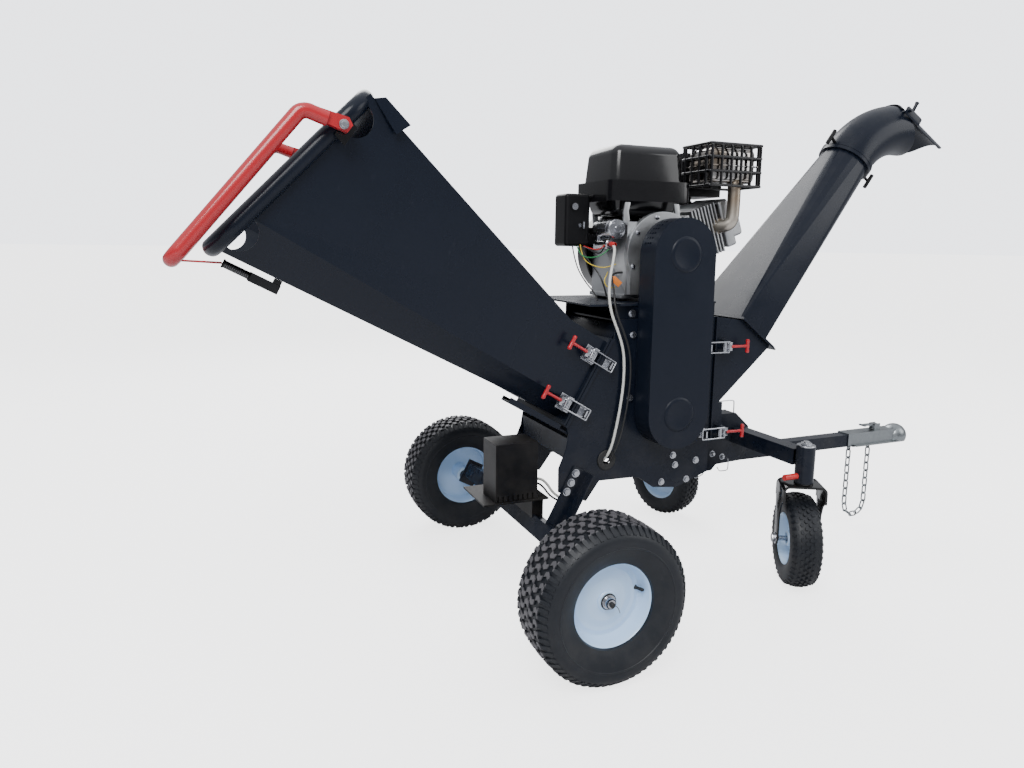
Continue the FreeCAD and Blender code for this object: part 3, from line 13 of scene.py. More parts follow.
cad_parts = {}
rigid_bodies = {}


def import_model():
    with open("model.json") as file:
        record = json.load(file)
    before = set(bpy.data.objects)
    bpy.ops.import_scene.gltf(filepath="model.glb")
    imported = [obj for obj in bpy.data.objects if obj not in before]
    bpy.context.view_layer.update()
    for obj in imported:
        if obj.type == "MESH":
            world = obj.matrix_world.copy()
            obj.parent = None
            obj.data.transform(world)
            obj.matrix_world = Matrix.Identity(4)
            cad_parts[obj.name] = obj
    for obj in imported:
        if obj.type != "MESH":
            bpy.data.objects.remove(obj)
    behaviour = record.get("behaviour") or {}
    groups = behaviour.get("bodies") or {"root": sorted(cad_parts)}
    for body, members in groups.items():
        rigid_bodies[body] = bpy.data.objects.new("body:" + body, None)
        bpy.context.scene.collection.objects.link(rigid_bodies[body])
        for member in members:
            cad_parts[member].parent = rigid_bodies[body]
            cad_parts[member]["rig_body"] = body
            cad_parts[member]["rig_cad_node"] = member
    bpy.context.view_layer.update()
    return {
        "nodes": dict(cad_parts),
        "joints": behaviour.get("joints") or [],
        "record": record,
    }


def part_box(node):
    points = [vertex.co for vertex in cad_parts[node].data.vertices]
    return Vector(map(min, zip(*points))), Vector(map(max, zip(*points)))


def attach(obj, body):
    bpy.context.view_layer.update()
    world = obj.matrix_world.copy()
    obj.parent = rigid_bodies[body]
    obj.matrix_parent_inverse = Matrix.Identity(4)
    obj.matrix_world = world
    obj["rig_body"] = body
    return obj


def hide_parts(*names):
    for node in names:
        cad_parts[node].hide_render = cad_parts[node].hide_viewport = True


bl_info = {
    "name": "Wood chipper looks",
    "version": (1, 0, 0),
    "blender": (4, 5, 0),
    "location": "3D View > Sidebar > Chipper",
    "description": "Builds the finishes and fine pieces of a towable wood chipper around its frame",
    "category": "Object",
}

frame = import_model()
NODES = frame["nodes"]
RECORD = frame["record"]
BODY_OF = {node: body for body, nodes in RECORD["behaviour"]["bodies"].items() for node in nodes}
SLOT_OF = {row["node"]: row["material_slot"] for row in RECORD["subparts"]}
WHEEL_LOW, WHEEL_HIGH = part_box("wheel_left")
AXLE_X = (WHEEL_LOW.x + WHEEL_HIGH.x) / 2
MM = 0.001
WHEEL_CENTRE_Z = (WHEEL_LOW.z + WHEEL_HIGH.z) / 2
CRANK_X, CRANK_Z, ROTOR_Z = 402, 1015, 557      # engine crankshaft and, below it, the rotor's shaft
CYLINDER_TILT, CYLINDER_FOOT, CYLINDER_HEAD = 20, 152, 262     # degrees, and distances from the crankshaft
HINGE_DROP = 30                                 # degrees that the deflector hangs below level at rest
CHASSIS = "chassis"
FINISH = {}


def spot(x, y, z):
    """Place in the frame of a point given in millimetres from the axle line."""
    return Vector((AXLE_X + x * MM, y * MM, z * MM))


# ---- modelling helpers --------------------------------------------------------------------------------
def box_mm(node):
    """Lowest and highest corners of a frame node, in millimetres from the axle line."""
    return [(corner - spot(0, 0, 0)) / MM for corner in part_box(node)]


def clear():
    """Leaves edit mode and deselects everything."""
    if bpy.context.object and bpy.context.object.mode != "OBJECT":
        bpy.ops.object.mode_set(mode="OBJECT")
    bpy.ops.object.select_all(action="DESELECT")


def hold(obj):
    """Makes obj the only selected object and the active one."""
    clear()
    obj.select_set(True)
    bpy.context.view_layer.objects.active = obj
    return obj


def edit(obj):
    """Opens a mesh in edit mode with all of it selected."""
    hold(obj)
    bpy.ops.object.mode_set(mode="EDIT")
    bpy.ops.mesh.select_all(action="SELECT")


def pick_faces(obj, wanted):
    """Opens a mesh in edit mode with only the faces whose normal is wanted selected."""
    hold(obj)
    bpy.context.tool_settings.mesh_select_mode = (False, False, True)
    for part in (*obj.data.vertices, *obj.data.edges):
        part.select = False
    for face in obj.data.polygons:
        face.select = wanted(face.normal)
    bpy.ops.object.mode_set(mode="EDIT")


def leave():
    """Goes back to object mode; the next edit selects by vertex again."""
    bpy.ops.object.mode_set(mode="OBJECT")
    bpy.context.tool_settings.mesh_select_mode = (True, False, False)


def close(obj, gap=2e-5):
    """Merges doubles and turns every face outwards."""
    edit(obj)
    bpy.ops.mesh.remove_doubles(threshold=gap)
    bpy.ops.mesh.normals_make_consistent(inside=False)
    leave()
    return obj


def smooth(obj, degrees=35.0):
    """Shades smooth across edges flatter than an angle."""
    hold(obj)
    bpy.ops.object.shade_smooth_by_angle(angle=radians(degrees))
    return obj


def modify(obj, kind, **values):
    """Adds a modifier with the given values and applies it."""
    hold(obj)
    mod = obj.modifiers.new(kind.title(), kind)
    for key, value in values.items():
        setattr(mod, key, value)
    bpy.ops.object.modifier_apply(modifier=mod.name)
    return obj


def eased(obj, width, segments=2, degrees=30.0):
    """Rounds the edges of a piece."""
    return modify(obj, "BEVEL", width=width, segments=segments, limit_method="ANGLE",
                  angle_limit=radians(degrees), use_clamp_overlap=True)


def heading(way):
    """Turn that brings +Z to a direction."""
    return Vector((0, 0, 1)).rotation_difference(Vector(way)).to_matrix().to_4x4()


def moved(obj, centre=(0, 0, 0), way=(0, 0, 1), twist=0.0):
    """Puts a mesh made about Z at its place, its axis along way."""
    obj.data.transform(Matrix.Translation(Vector(centre)) @ heading(way) @ Matrix.Rotation(twist, 4, "Z"))
    obj.matrix_world = Matrix.Identity(4)
    return obj


def turned(profile, steps=48, capped=False):
    """Ring about Z: a circle is extruded and resized from one (radius, height) point to the next."""
    clear()
    profile = [(r * MM, h * MM) for r, h in profile]
    bpy.ops.mesh.primitive_circle_add(vertices=steps, radius=profile[0][0], location=(0, 0, profile[0][1]))
    obj = bpy.context.object
    bpy.ops.object.transform_apply(location=True, rotation=True, scale=True)
    bpy.ops.object.mode_set(mode="EDIT")
    bpy.ops.mesh.select_all(action="SELECT")
    if capped:
        bpy.ops.mesh.edge_face_add()
    for (r0, h0), (r1, h1) in zip(profile, profile[1:]):
        if capped:
            bpy.ops.mesh.extrude_region_move(TRANSFORM_OT_translate={"value": (0, 0, h1 - h0)})
        else:
            bpy.ops.mesh.extrude_edges_move(TRANSFORM_OT_translate={"value": (0, 0, h1 - h0)})
        bpy.ops.transform.resize(value=(r1 / r0, r1 / r0, 1), center_override=(0, 0, 0))
    leave()
    return close(obj)


def lathe(profile, steps, place, way=(0, 0, 1)):
    """Turned piece at its place, its axis along way."""
    return moved(turned(profile, steps), place, way)


def brick(low, high):
    """Box between two corners given in millimetres, at its place from the axle line."""
    clear()
    low, high = spot(*low), spot(*high)
    bpy.ops.mesh.primitive_cube_add(size=1, location=(low + high) / 2)
    obj = bpy.context.object
    obj.scale = high - low
    bpy.ops.object.transform_apply(location=True, rotation=True, scale=True)
    return obj


def joined(name, pieces):
    """One object of several."""
    clear()
    for piece in pieces:
        piece.select_set(True)
    bpy.context.view_layer.objects.active = pieces[0]
    if len(pieces) > 1:
        bpy.ops.object.join()
    pieces[0].name = name
    return pieces[0]


def copied(obj, matrix=Matrix.Identity(4)):
    """Copy of a piece with its own mesh, moved by a matrix."""
    out = obj.copy()
    out.data = obj.data.copy()
    bpy.context.scene.collection.objects.link(out)
    out.data.transform(matrix)
    return out


def tube(points, radius, order=3, cyclic=False, resolution=6, ring=4):
    """Round wire or tube along a smooth line through the given places, as a mesh."""
    curve = wire_curve(points, radius, order, cyclic, resolution, ring)
    hold(curve)
    bpy.ops.object.convert(target="MESH")
    return close(bpy.context.object)


def wire(places, radius, resolution=4, ring=2, cyclic=False):
    """Tube through places given in millimetres from the axle line."""
    return tube([spot(*place) for place in places], radius, cyclic=cyclic, resolution=resolution, ring=ring)


def wire_curve(points, radius, order=3, cyclic=False, resolution=6, ring=4):
    """The same line as a curve."""
    data = bpy.data.curves.new("line", "CURVE")
    data.dimensions = "3D"
    spline = data.splines.new("NURBS")
    spline.points.add(len(points) - 1)
    for point, place in zip(spline.points, points):
        point.co = (*place, 1)
    spline.order_u = order
    spline.use_endpoint_u = not cyclic
    spline.use_cyclic_u = cyclic
    data.resolution_u = resolution
    data.bevel_depth = radius
    data.bevel_resolution = ring
    data.use_fill_caps = True
    obj = bpy.data.objects.new("line", data)
    bpy.context.scene.collection.objects.link(obj)
    return obj


def welded(node, name, facet=0.4):
    """Copy of a frame node with its faces joined where they lie in one plane."""
    clear()
    obj = copied(NODES[node])
    obj.parent = None
    obj.matrix_world = Matrix.Identity(4)
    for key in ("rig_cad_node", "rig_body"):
        if key in obj:
            del obj[key]
    obj.name = name
    hold(obj)
    bpy.ops.mesh.customdata_custom_splitnormals_clear()
    edit(obj)
    bpy.ops.mesh.remove_doubles(threshold=1e-5)
    bpy.ops.mesh.dissolve_limited(angle_limit=radians(facet))
    leave()
    return obj


def parted(obj, x):
    """Loose parts of a mesh as two pieces: those behind and those ahead of a place along X."""
    edit(obj)
    bpy.ops.mesh.separate(type="LOOSE")
    leave()
    halves = ([], [])
    for part in list(bpy.context.selected_objects):
        middle = sum((Vector(c) for c in part.bound_box), Vector()) / 8
        halves[middle.x > AXLE_X + x * MM].append(part)
    return [joined(obj.name + end, half) for end, half in zip(("_rear", "_front"), halves)]


def rounded(obj, width, material, *nodes, degrees=30.0, segments=2):
    """Rounds a welded copy's edges and gives it its finish."""
    eased(obj, width, segments, degrees)
    smooth(obj, 40.0)
    modify(obj, "WEIGHTED_NORMAL", keep_sharp=True)
    return standing(obj, material, *nodes)


def polished(node, name, width, material, degrees=30.0):
    """Welded copy of a frame node with rounded edges, standing for that node."""
    return rounded(welded(node, name), width, material, node, degrees=degrees)


def standing(obj, material, *nodes, body=None, slot=None):
    """Gives a finished piece its material and body; its slot argument is not used. It stands for the named nodes, on
    their body.
    """
    obj.data.materials.clear()
    obj.data.materials.append(FINISH[material])
    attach(obj, body or (BODY_OF[nodes[0]] if nodes else CHASSIS))
    if nodes:
        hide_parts(*nodes)
    return obj


# ---- materials ----------------------------------------------------------------------------------------
def group_start(name, inputs, outputs):
    """Empty node group with float inputs (name, default) and outputs (name, type)."""
    group = bpy.data.node_groups.new(name, "ShaderNodeTree")
    for label, default in inputs:
        socket = group.interface.new_socket(label, in_out="INPUT", socket_type="NodeSocketFloat")
        socket.default_value = default
    for label, kind in outputs:
        group.interface.new_socket(label, in_out="OUTPUT", socket_type=kind)
    return group, group.nodes.new("NodeGroupInput"), group.nodes.new("NodeGroupOutput")


def put(node, values):
    """Sets a node's own inputs by label."""
    for label, value in values.items():
        node.inputs[label].default_value = value


def group_node(nodes, name, values):
    """A shared group placed in a material with its own values."""
    node = nodes.new("ShaderNodeGroup")
    node.node_tree = bpy.data.node_groups[name]
    put(node, values)
    return node


def relief(nodes, links, height, strength, distance):
    """Bump from a height, on the material's normal."""
    bump = nodes.new("ShaderNodeBump")
    put(bump, {"Strength": strength, "Distance": distance})
    links.new(height, bump.inputs["Height"])
    links.new(bump.outputs["Normal"], nodes["Principled BSDF"].inputs["Normal"])


def noise(nodes, links, vector, scale, detail=3.0, rough=0.5):
    """Noise over a vector; its scale is a number or a socket."""
    node = nodes.new("ShaderNodeTexNoise")
    put(node, {"Detail": detail, "Roughness": rough})
    if isinstance(scale, float):
        node.inputs["Scale"].default_value = scale
    else:
        links.new(scale, node.inputs["Scale"])
    links.new(vector, node.inputs["Vector"])
    return node.outputs["Fac"]


def math_node(nodes, links, kind, a, b):
    """Result of a Math node on two numbers or sockets."""
    node = nodes.new("ShaderNodeMath")
    node.operation = kind
    for socket, value in zip(node.inputs, (a, b)):
        if isinstance(value, (int, float)):
            socket.default_value = value
        else:
            links.new(value, socket)
    return node.outputs[0]


def spread(nodes, links, value, low, high, to_low=0.0, to_high=1.0):
    """Maps a value from one range to another, clamped."""
    node = nodes.new("ShaderNodeMapRange")
    links.new(value, node.inputs["Value"])
    for label, number in (("From Min", low), ("From Max", high), ("To Min", to_low), ("To Max", to_high)):
        if isinstance(number, (int, float)):
            node.inputs[label].default_value = number
        else:
            links.new(number, node.inputs[label])
    return node.outputs["Result"]


def colour_mix(nodes, links, factor, first, second):
    """Mix of two colours, each a colour or a socket."""
    node = nodes.new("ShaderNodeMix")
    node.data_type = "RGBA"
    links.new(factor, node.inputs[0])
    for socket, colour in ((node.inputs[6], first), (node.inputs[7], second)):
        if isinstance(colour, bpy.types.NodeSocket):
            links.new(colour, socket)
        else:
            socket.default_value = (*[min(1, c) for c in colour], 1)
    return node.outputs[2]


def grain_group():
    """Grain, mottle and scuffs of a coated or cast surface."""
    group, start, end = group_start("Surface grain", [("Grain Size", 900.0), ("Mottle Size", 6.0)],
                                    [("Mottle", "NodeSocketFloat"), ("Height", "NodeSocketFloat"),
                                     ("Scuff", "NodeSocketFloat")])
    nodes, links = group.nodes, group.links
    place = nodes.new("ShaderNodeTexCoord").outputs["Object"]
    links.new(noise(nodes, links, place, start.outputs["Mottle Size"], 4.0, 0.6), end.inputs["Mottle"])
    links.new(noise(nodes, links, place, start.outputs["Grain Size"], 2.0), end.inputs["Height"])
    stretch = nodes.new("ShaderNodeMapping")
    put(stretch, {"Scale": (1.0, 3.0, 0.35), "Rotation": (0.3, 0.6, 0.2)})
    links.new(place, stretch.inputs["Vector"])
    scuff = noise(nodes, links, stretch.outputs["Vector"], 60.0, 6.0, 0.7)
    links.new(spread(nodes, links, scuff, 0.62, 0.74), end.inputs["Scuff"])
    return group


def dust_group():
    """Dust that settles on faces turned up and near the ground."""
    group, start, end = group_start("Settled dust", [("Amount", 0.3), ("Reach", 0.6)],
                                    [("Dust", "NodeSocketFloat")])
    nodes, links = group.nodes, group.links
    place = nodes.new("ShaderNodeTexCoord").outputs["Object"]
    split = nodes.new("ShaderNodeSeparateXYZ")
    links.new(place, split.inputs[0])
    low = spread(nodes, links, split.outputs["Z"], start.outputs["Reach"], 0.0)
    face = nodes.new("ShaderNodeSeparateXYZ")
    links.new(nodes.new("ShaderNodeNewGeometry").outputs["Normal"], face.inputs[0])
    up = spread(nodes, links, face.outputs["Z"], 0.3, 1.0, 0.0, 0.6)
    patch = spread(nodes, links, noise(nodes, links, place, 14.0, 6.0, 0.65), 0.42, 0.7)
    both = math_node(nodes, links, "MAXIMUM", low, up)
    mask = math_node(nodes, links, "MULTIPLY", both, patch)
    links.new(math_node(nodes, links, "MULTIPLY", mask, start.outputs["Amount"]), end.inputs["Dust"])
    return group


def surface(name, colour, rough, metal=0.0, coat=0.0, mottle=0.12, grain=900.0, bump=0.05, scuff=0.1, dust=0.15,
            specular=0.5, reach=0.6, depth=0.0004, vary=0.06, patch=6.0):
    """Material with mottled colour, grain in its height, scuffs and dust."""
    material = FINISH[name] = bpy.data.materials.new(name)
    material.use_nodes = True
    nodes, links = material.node_tree.nodes, material.node_tree.links
    shader = nodes["Principled BSDF"]
    grain_node = group_node(nodes, "Surface grain", {"Grain Size": grain, "Mottle Size": patch})
    dust_node = group_node(nodes, "Settled dust", {"Amount": dust, "Reach": reach})
    ramp = colour_mix(nodes, links, grain_node.outputs["Mottle"], [c * (1 - mottle) for c in colour],
                      [c * (1 + mottle) for c in colour])
    worn = colour_mix(nodes, links, math_node(nodes, links, "MULTIPLY", grain_node.outputs["Scuff"], scuff), ramp,
                      [c * 1.35 + 0.02 for c in colour])
    dusty = colour_mix(nodes, links, dust_node.outputs["Dust"], worn, (0.30, 0.27, 0.23))
    links.new(dusty, shader.inputs["Base Color"])
    base = spread(nodes, links, grain_node.outputs["Mottle"], 0.3, 0.7, rough - vary, rough + vary)
    dull = math_node(nodes, links, "MULTIPLY", dust_node.outputs["Dust"], 0.5)
    links.new(math_node(nodes, links, "ADD", base, dull), shader.inputs["Roughness"])
    relief(nodes, links, grain_node.outputs["Height"], bump, depth)
    put(shader, {"Metallic": metal, "Coat Weight": coat, "Coat Roughness": 0.08, "Specular IOR Level": specular})
    return material


def heat_tint_group():
    """Heat tint of a chrome or steel exhaust: straw and brown patches."""
    group, start, end = group_start("Heat tint", [("Tint Size", 9.0)], [("Tint", "NodeSocketFloat")])
    nodes, links = group.nodes, group.links
    place = nodes.new("ShaderNodeTexCoord").outputs["Object"]
    patch = noise(nodes, links, place, start.outputs["Tint Size"], 5.0, 0.6)
    links.new(spread(nodes, links, patch, 0.4, 0.68), end.inputs["Tint"])
    return group


def tinted(material, colour):
    """Lays the heat tint over a material's colour."""
    nodes, links = material.node_tree.nodes, material.node_tree.links
    shader = nodes["Principled BSDF"]
    tint = group_node(nodes, "Heat tint", {})
    base = shader.inputs["Base Color"].links[0].from_socket
    links.new(colour_mix(nodes, links, tint.outputs["Tint"], base, colour), shader.inputs["Base Color"])


TREAD_TOP = (0.1985, 0.2005)        # reach from the axle line over which the tread turns paler: a painted highlight on the block tops


def tread_top_highlight(material, colour):
    """Painted highlight: paler tops of a road tyre's blocks, by their distance from the axle line, standing for the
    light they catch.
    """
    nodes, links = material.node_tree.nodes, material.node_tree.links
    shader = nodes["Principled BSDF"]
    centre = nodes.new("ShaderNodeMapping")
    put(centre, {"Location": (-AXLE_X, 0, -WHEEL_CENTRE_Z)})
    links.new(nodes.new("ShaderNodeTexCoord").outputs["Object"], centre.inputs["Vector"])
    flat = nodes.new("ShaderNodeVectorMath")
    flat.operation = "MULTIPLY"
    flat.inputs[1].default_value = (1, 0, 1)
    links.new(centre.outputs["Vector"], flat.inputs[0])
    reach = nodes.new("ShaderNodeVectorMath")
    reach.operation = "LENGTH"
    links.new(flat.outputs["Vector"], reach.inputs[0])
    top = spread(nodes, links, reach.outputs["Value"], *TREAD_TOP)
    base = shader.inputs["Base Color"].links[0].from_socket
    links.new(colour_mix(nodes, links, top, base, colour), shader.inputs["Base Color"])


def braided(material, pitch):
    """Fine woven relief of a sleeved lead."""
    nodes, links = material.node_tree.nodes, material.node_tree.links
    weave = nodes.new("ShaderNodeTexWave")
    put(weave, {"Scale": 1 / pitch})
    weave.bands_direction = "DIAGONAL"
    links.new(nodes.new("ShaderNodeTexCoord").outputs["Object"], weave.inputs["Vector"])
    relief(nodes, links, weave.outputs["Fac"], 0.4, 0.0006)


class ChipperFinish(bpy.types.PropertyGroup):
    """Colours and wear"""
    body_colour: FloatVectorProperty(name="Body colour", description="Powder coat of the sheet metal",
                                     subtype="COLOR", default=(0.006, 0.009, 0.017), min=0, max=1)
    red_colour: FloatVectorProperty(name="Red colour", description="Control bar and grips", subtype="COLOR",
                                    default=(0.42, 0.012, 0.018), min=0, max=1)
    rim_colour: FloatVectorProperty(name="Rim colour", description="Enamel of the wheel rims", subtype="COLOR",
                                    default=(0.54, 0.74, 1.0), min=0, max=1)
    dust: FloatProperty(name="Dust", description="Share of settled dust", default=0.12, min=0, max=1,
                        subtype="FACTOR")


class ChipperSizes(bpy.types.PropertyGroup):
    """Sizes of edges and treads"""
    edge: FloatProperty(name="Edge radius", description="Rounding of folded sheet edges", default=0.0012, min=0.0002,
                        max=0.004, unit="LENGTH")
    tread_rows: IntProperty(name="Tread blocks", description="Blocks round one row of a road tyre", default=44,
                            min=20, max=80)
    caster_rows: IntProperty(name="Caster blocks", description="Blocks round one row of a caster tyre", default=40,
                             min=20, max=80)


class CHIPPER_OT_finishes(bpy.types.Operator):
    """Make the coats, rubbers and metals"""
    bl_idname = "chipper.finishes"
    bl_label = "Finishes"

    def execute(self, context):
        look = context.scene.chipper_finish
        grain_group()
        dust_group()
        heat_tint_group()
        dust = look.dust
        surface("body_paint", look.body_colour, 0.27, specular=0.22, grain=520.0, bump=0.06, scuff=0.25, dust=dust)
        surface("cover_paint", look.body_colour, 0.34, specular=0.2, grain=520.0, bump=0.14, scuff=0.2, dust=dust)
        surface("red_paint", look.red_colour, 0.28, coat=0.4, grain=400.0, bump=0.02, scuff=0.15, dust=dust / 2)
        surface("red_plastic", (0.55, 0.02, 0.02), 0.34, grain=700.0, dust=dust / 2)
        surface("rim_paint", look.rim_colour, 0.33, coat=0.2, grain=300.0, bump=0.03, dust=dust / 4,
                mottle=0.03)
        surface("black_paint", (0.005, 0.005, 0.006), 0.14, grain=500.0, bump=0.04, scuff=0.08, dust=0.05)
        surface("black_plastic", (0.005, 0.005, 0.006), 0.42, specular=0.2, grain=1400.0, bump=0.25,
                dust=dust)
        surface("cast_aluminium", (0.46, 0.47, 0.48), 0.46, metal=1.0, grain=1100.0, bump=0.35, scuff=0.3, dust=0.1,
                mottle=0.2, patch=16.0)
        surface("zinc", (0.46, 0.47, 0.50), 0.24, metal=1.0, grain=700.0, bump=0.08, scuff=0.2, dust=0.05, mottle=0.15,
                patch=30.0)
        surface("dark_steel", (0.20, 0.20, 0.21), 0.38, metal=1.0, grain=600.0, bump=0.12, scuff=0.2, dust=0.1)
        surface("galvanised", (0.26, 0.28, 0.29), 0.34, metal=1.0, grain=300.0, bump=0.15, scuff=0.3, dust=0.1,
                mottle=0.25, patch=70.0)
        surface("rubber", (0.012, 0.012, 0.012), 0.62, grain=1200.0, bump=0.2, dust=0.1)
        for name in ("tyre", "road_tyre"):
            surface(name, (0.008, 0.010, 0.014), 0.46, specular=0.35, bump=0.3, scuff=0.3, dust=0.05,
                    reach=0.5, mottle=0.1, patch=12.0)
        # painted highlight colour on the tops of the road tyre's tread blocks
        tread_top_highlight(FINISH["road_tyre"], (0.095, 0.092, 0.10))
        surface("cable_white", (0.66, 0.66, 0.62), 0.55, grain=500.0, bump=0.2, scuff=0.2, dust=0.1)
        for name, colour, rough in (("cable_black", (0.014, 0.014, 0.015), 0.42),
                                    ("cable_yellow", (0.62, 0.45, 0.03), 0.45),
                                    ("cable_green", (0.03, 0.25, 0.08), 0.45)):
            surface(name, colour, rough, grain=500.0, bump=0.1, dust=0.1)
        surface("tag_orange", (0.72, 0.20, 0.02), 0.55, grain=300.0, bump=0.1, dust=0.05)
        surface("heated_steel", (0.50, 0.46, 0.40), 0.36, metal=1.0, grain=500.0, bump=0.15, scuff=0.3, dust=0.05)
        surface("chrome", (0.42, 0.42, 0.42), 0.18, metal=1.0, grain=300.0, bump=0.03, dust=0.02,
                vary=0.03)
        tinted(FINISH["chrome"], (0.34, 0.27, 0.20))
        tinted(FINISH["heated_steel"], (0.28, 0.20, 0.13))
        braided(FINISH["cable_white"], 0.004)
        return {"FINISHED"}


# ---- sheet metal --------------------------------------------------------------------------------------
THROAT_LOW, THROAT_HIGH = (222, 774), (244, 815)    # X and Z of the ends of the sloping sheet over the throat
THROAT_HALF = 154.5
FLAP_RADIUS, FLAP_AXIS, FLAP_REACH, FLAP_REAR = 88, -50, 240, -8    # arch of the flap, from its hinge
FLAP_NARROW, FLAP_WIDER, FLAP_TURN, FLAP_CORNER = 46, 17, (52, 20), 34
SHEET = 3


def deflector_flap(edge):
    """Arched flap with a rounded lip, built level about its hinge: X outwards, Z up; then let down."""
    hinge = next(joint for joint in frame["joints"] if joint["name"] == "deflector_tilt")
    radius = FLAP_RADIUS
    clear()
    bpy.ops.mesh.primitive_grid_add(x_subdivisions=40, y_subdivisions=28, size=2)
    sheet = bpy.context.object
    for vertex in sheet.data.vertices:
        share, turn = (vertex.co.x + 1) / 2, vertex.co.y
        along = FLAP_REAR + (FLAP_REACH - FLAP_CORNER * abs(turn) ** 4 - FLAP_REAR) * share
        start, length = FLAP_TURN
        angle = radians((FLAP_NARROW + FLAP_WIDER * min(1, max(0, (along - start) / length))) * turn)
        vertex.co = Vector((along, radius * sin(angle), radius * cos(angle) + FLAP_AXIS)) * MM
    modify(sheet, "SOLIDIFY", thickness=SHEET * MM, offset=-1)
    pieces = [eased(close(sheet, 1e-6), edge * 0.8)]
    for side in (1, -1):
        ear = prism([(-14, -8), (-8, -15), (60, -15), (69, -12), (69, 12), (60, 14), (-8, 14), (-14, 8)],
                    *sorted((side * (radius - SHEET), side * radius)))
        ear.data.transform(Matrix.Rotation(pi / 2, 4, "X") @ Matrix.Diagonal((1, 1, -1, 1)))
        pieces.append(eased(close(ear), edge * 0.8))
    rod = turned([(0.5, radius - 52), (6, radius - 52), (6, radius + 22), (7.5, radius + 25), (7.5, radius + 28),
                  (5, radius + 30), (0.5, radius + 30)], 24)
    pieces.append(moved(rod, (95 * MM, 0, 0)))
    flap = joined("deflector_sheet", pieces)
    flap.data.transform(Matrix.Translation(Vector(hinge["pos_m"])) @ Matrix.Rotation(radians(HINGE_DROP), 4, "Y"))
    standing(smooth(flap, 40), "body_paint", "deflector")


def throat_sheet(edge):
    """Sheet that slopes down from under the engine plate to the throat."""
    run, rise = (b - a for a, b in zip(THROAT_LOW, THROAT_HIGH))
    length = hypot(run, rise)
    sheet = prism([(0, -THROAT_HALF), (length, -THROAT_HALF), (length, THROAT_HALF), (0, THROAT_HALF)], -SHEET, 0)
    slope = Matrix.Rotation(-atan2(rise, run), 4, "Y")
    sheet.data.transform(Matrix.Translation(spot(THROAT_LOW[0], 0, THROAT_LOW[1])) @ slope)
    heap("throat_sheet", [eased(sheet, edge)], "body_paint")


class CHIPPER_OT_sheet_metal(bpy.types.Operator):
    """Weld and round the folded sheet of hopper, housing, hood, chute and chassis"""
    bl_idname = "chipper.sheet_metal"
    bl_label = "Sheet metal"

    def execute(self, context):
        edge = context.scene.chipper_sizes.edge
        for node in ("hopper_shell", "discharge_hood", "chute", "infeed_neck", "side_plates", "legs",
                     "axle_beam", "tow_bracket", "caster_beam", "tow_bar", "belt_back_plate", "engine_plate",
                     "rotor_housing", "mouth_frame", "elbow"):
            polished(node, node + "_sheet", edge, "body_paint")
        deflector_flap(edge)
        throat_sheet(edge)
        polished("belt_cover", "belt_cover_sheet", 6 * edge, "cover_paint", 50)
        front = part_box("belt_cover")[0].y
        for height in (ROTOR_Z, CRANK_Z):
            boss = turned([(0.5, 3.5), (38, 3.5), (41, 4.4), (46, 3.6), (50, 1.2), (51.5, -0.5), (0.5, -0.5)], 64)
            at = spot(CRANK_X, 0, height)
            moved(boss, (at.x, front + 0.0032, at.z), (0, -1, 0))
            heap("belt_cover_boss_%d" % height, [boss], "cover_paint")
        pins = [bolt(spot(x, side * 29, z), (0, side, 0), 8) for x, z in ((741, 338), (700, 352)) for side in (1, -1)]
        pins.append(moved(turned([(0.5, -29), (7.5, -29), (7.5, 29), (0.5, 29)], 24), spot(741, 0, 338), (0, 1, 0)))
        heap("hitch_pins", pins, "zinc")
        clips = []
        for x, z, turn in ((752, 336, 0.0), (640, 330, 0.35)):
            line = [(x + a * cos(turn) + b * sin(turn), y, z + a * sin(turn) - b * cos(turn)) for a, b, y in
                    ((0, 0, -30), (0, 0, -44), (0, 8, -50), (0, 34, -50), (0, 42, -46), (-30, 42, -46),
                     (-34, 38, -44), (-34, 30, -36))]
            clips.append(wire(line, 0.0016))
        loop = ((716, -26, 480), (716, -26, 524), (720, -26, 530), (778, -26, 530), (782, -26, 524), (782, -26, 480))
        clips.append(wire(loop, 0.002))
        heap("hitch_clips", clips, "zinc")
        return {"FINISHED"}


# ---- wheels -------------------------------------------------------------------------------------------
def prism(outline, low, high, top_scale=1.0):
    """Upright block on an outline of (x, y) points, from low to high, its top face resized."""
    clear()
    bpy.ops.mesh.primitive_circle_add(vertices=len(outline), radius=1, fill_type="NGON")
    obj = bpy.context.object
    for vertex, (x, y) in zip(obj.data.vertices, outline):
        vertex.co = (x * MM, y * MM, low * MM)
    edit(obj)
    bpy.ops.mesh.extrude_region_move(TRANSFORM_OT_translate={"value": (0, 0, (high - low) * MM)})
    across, along = (sum(values) / len(outline) * MM for values in zip(*outline))
    bpy.ops.transform.resize(value=(top_scale, top_scale, 1), center_override=(across, along, high * MM))
    leave()
    return close(obj, 1e-6)


def hexagon(radius):
    """Outline of a bolt head."""
    return [(radius * cos(radians(60 * k)), radius * sin(radians(60 * k))) for k in range(6)]


def bolt(place, way, size=6.0, washer=True):
    """Hex head bolt with its washer, its bearing face at place."""
    head = eased(prism(hexagon(size), 1.5, size * 0.75 + 1.5), 0.0005)
    pieces = [head]
    if washer:
        rim = size * 1.35
        pieces.append(turned([(0.5, 0), (rim, 0), (rim, 1.2), (size * 1.3, 1.5), (0.5, 1.5)], 24, True))
    return moved(joined("bolt", pieces), place, way)


def both_sides(profile):
    """Closed profile of a ring that is the same on its two sides."""
    return profile + [(r, -h) for r, h in reversed(profile)] + profile[:1]


def tread_ring(block, radius, height, count, phase):
    """Copies of a block round an axis along Z; the block's own Z points outwards and its X along the axis."""
    out = []
    for k in range(count):
        turn = Matrix.Rotation(2 * pi * (k + phase) / count, 4, "Z")
        stand = Matrix(((0, 0, 1, radius * MM), (0, -1, 0, 0), (1, 0, 0, height * MM), (0, 0, 0, 1)))
        out.append(copied(block, turn @ stand))
    return out


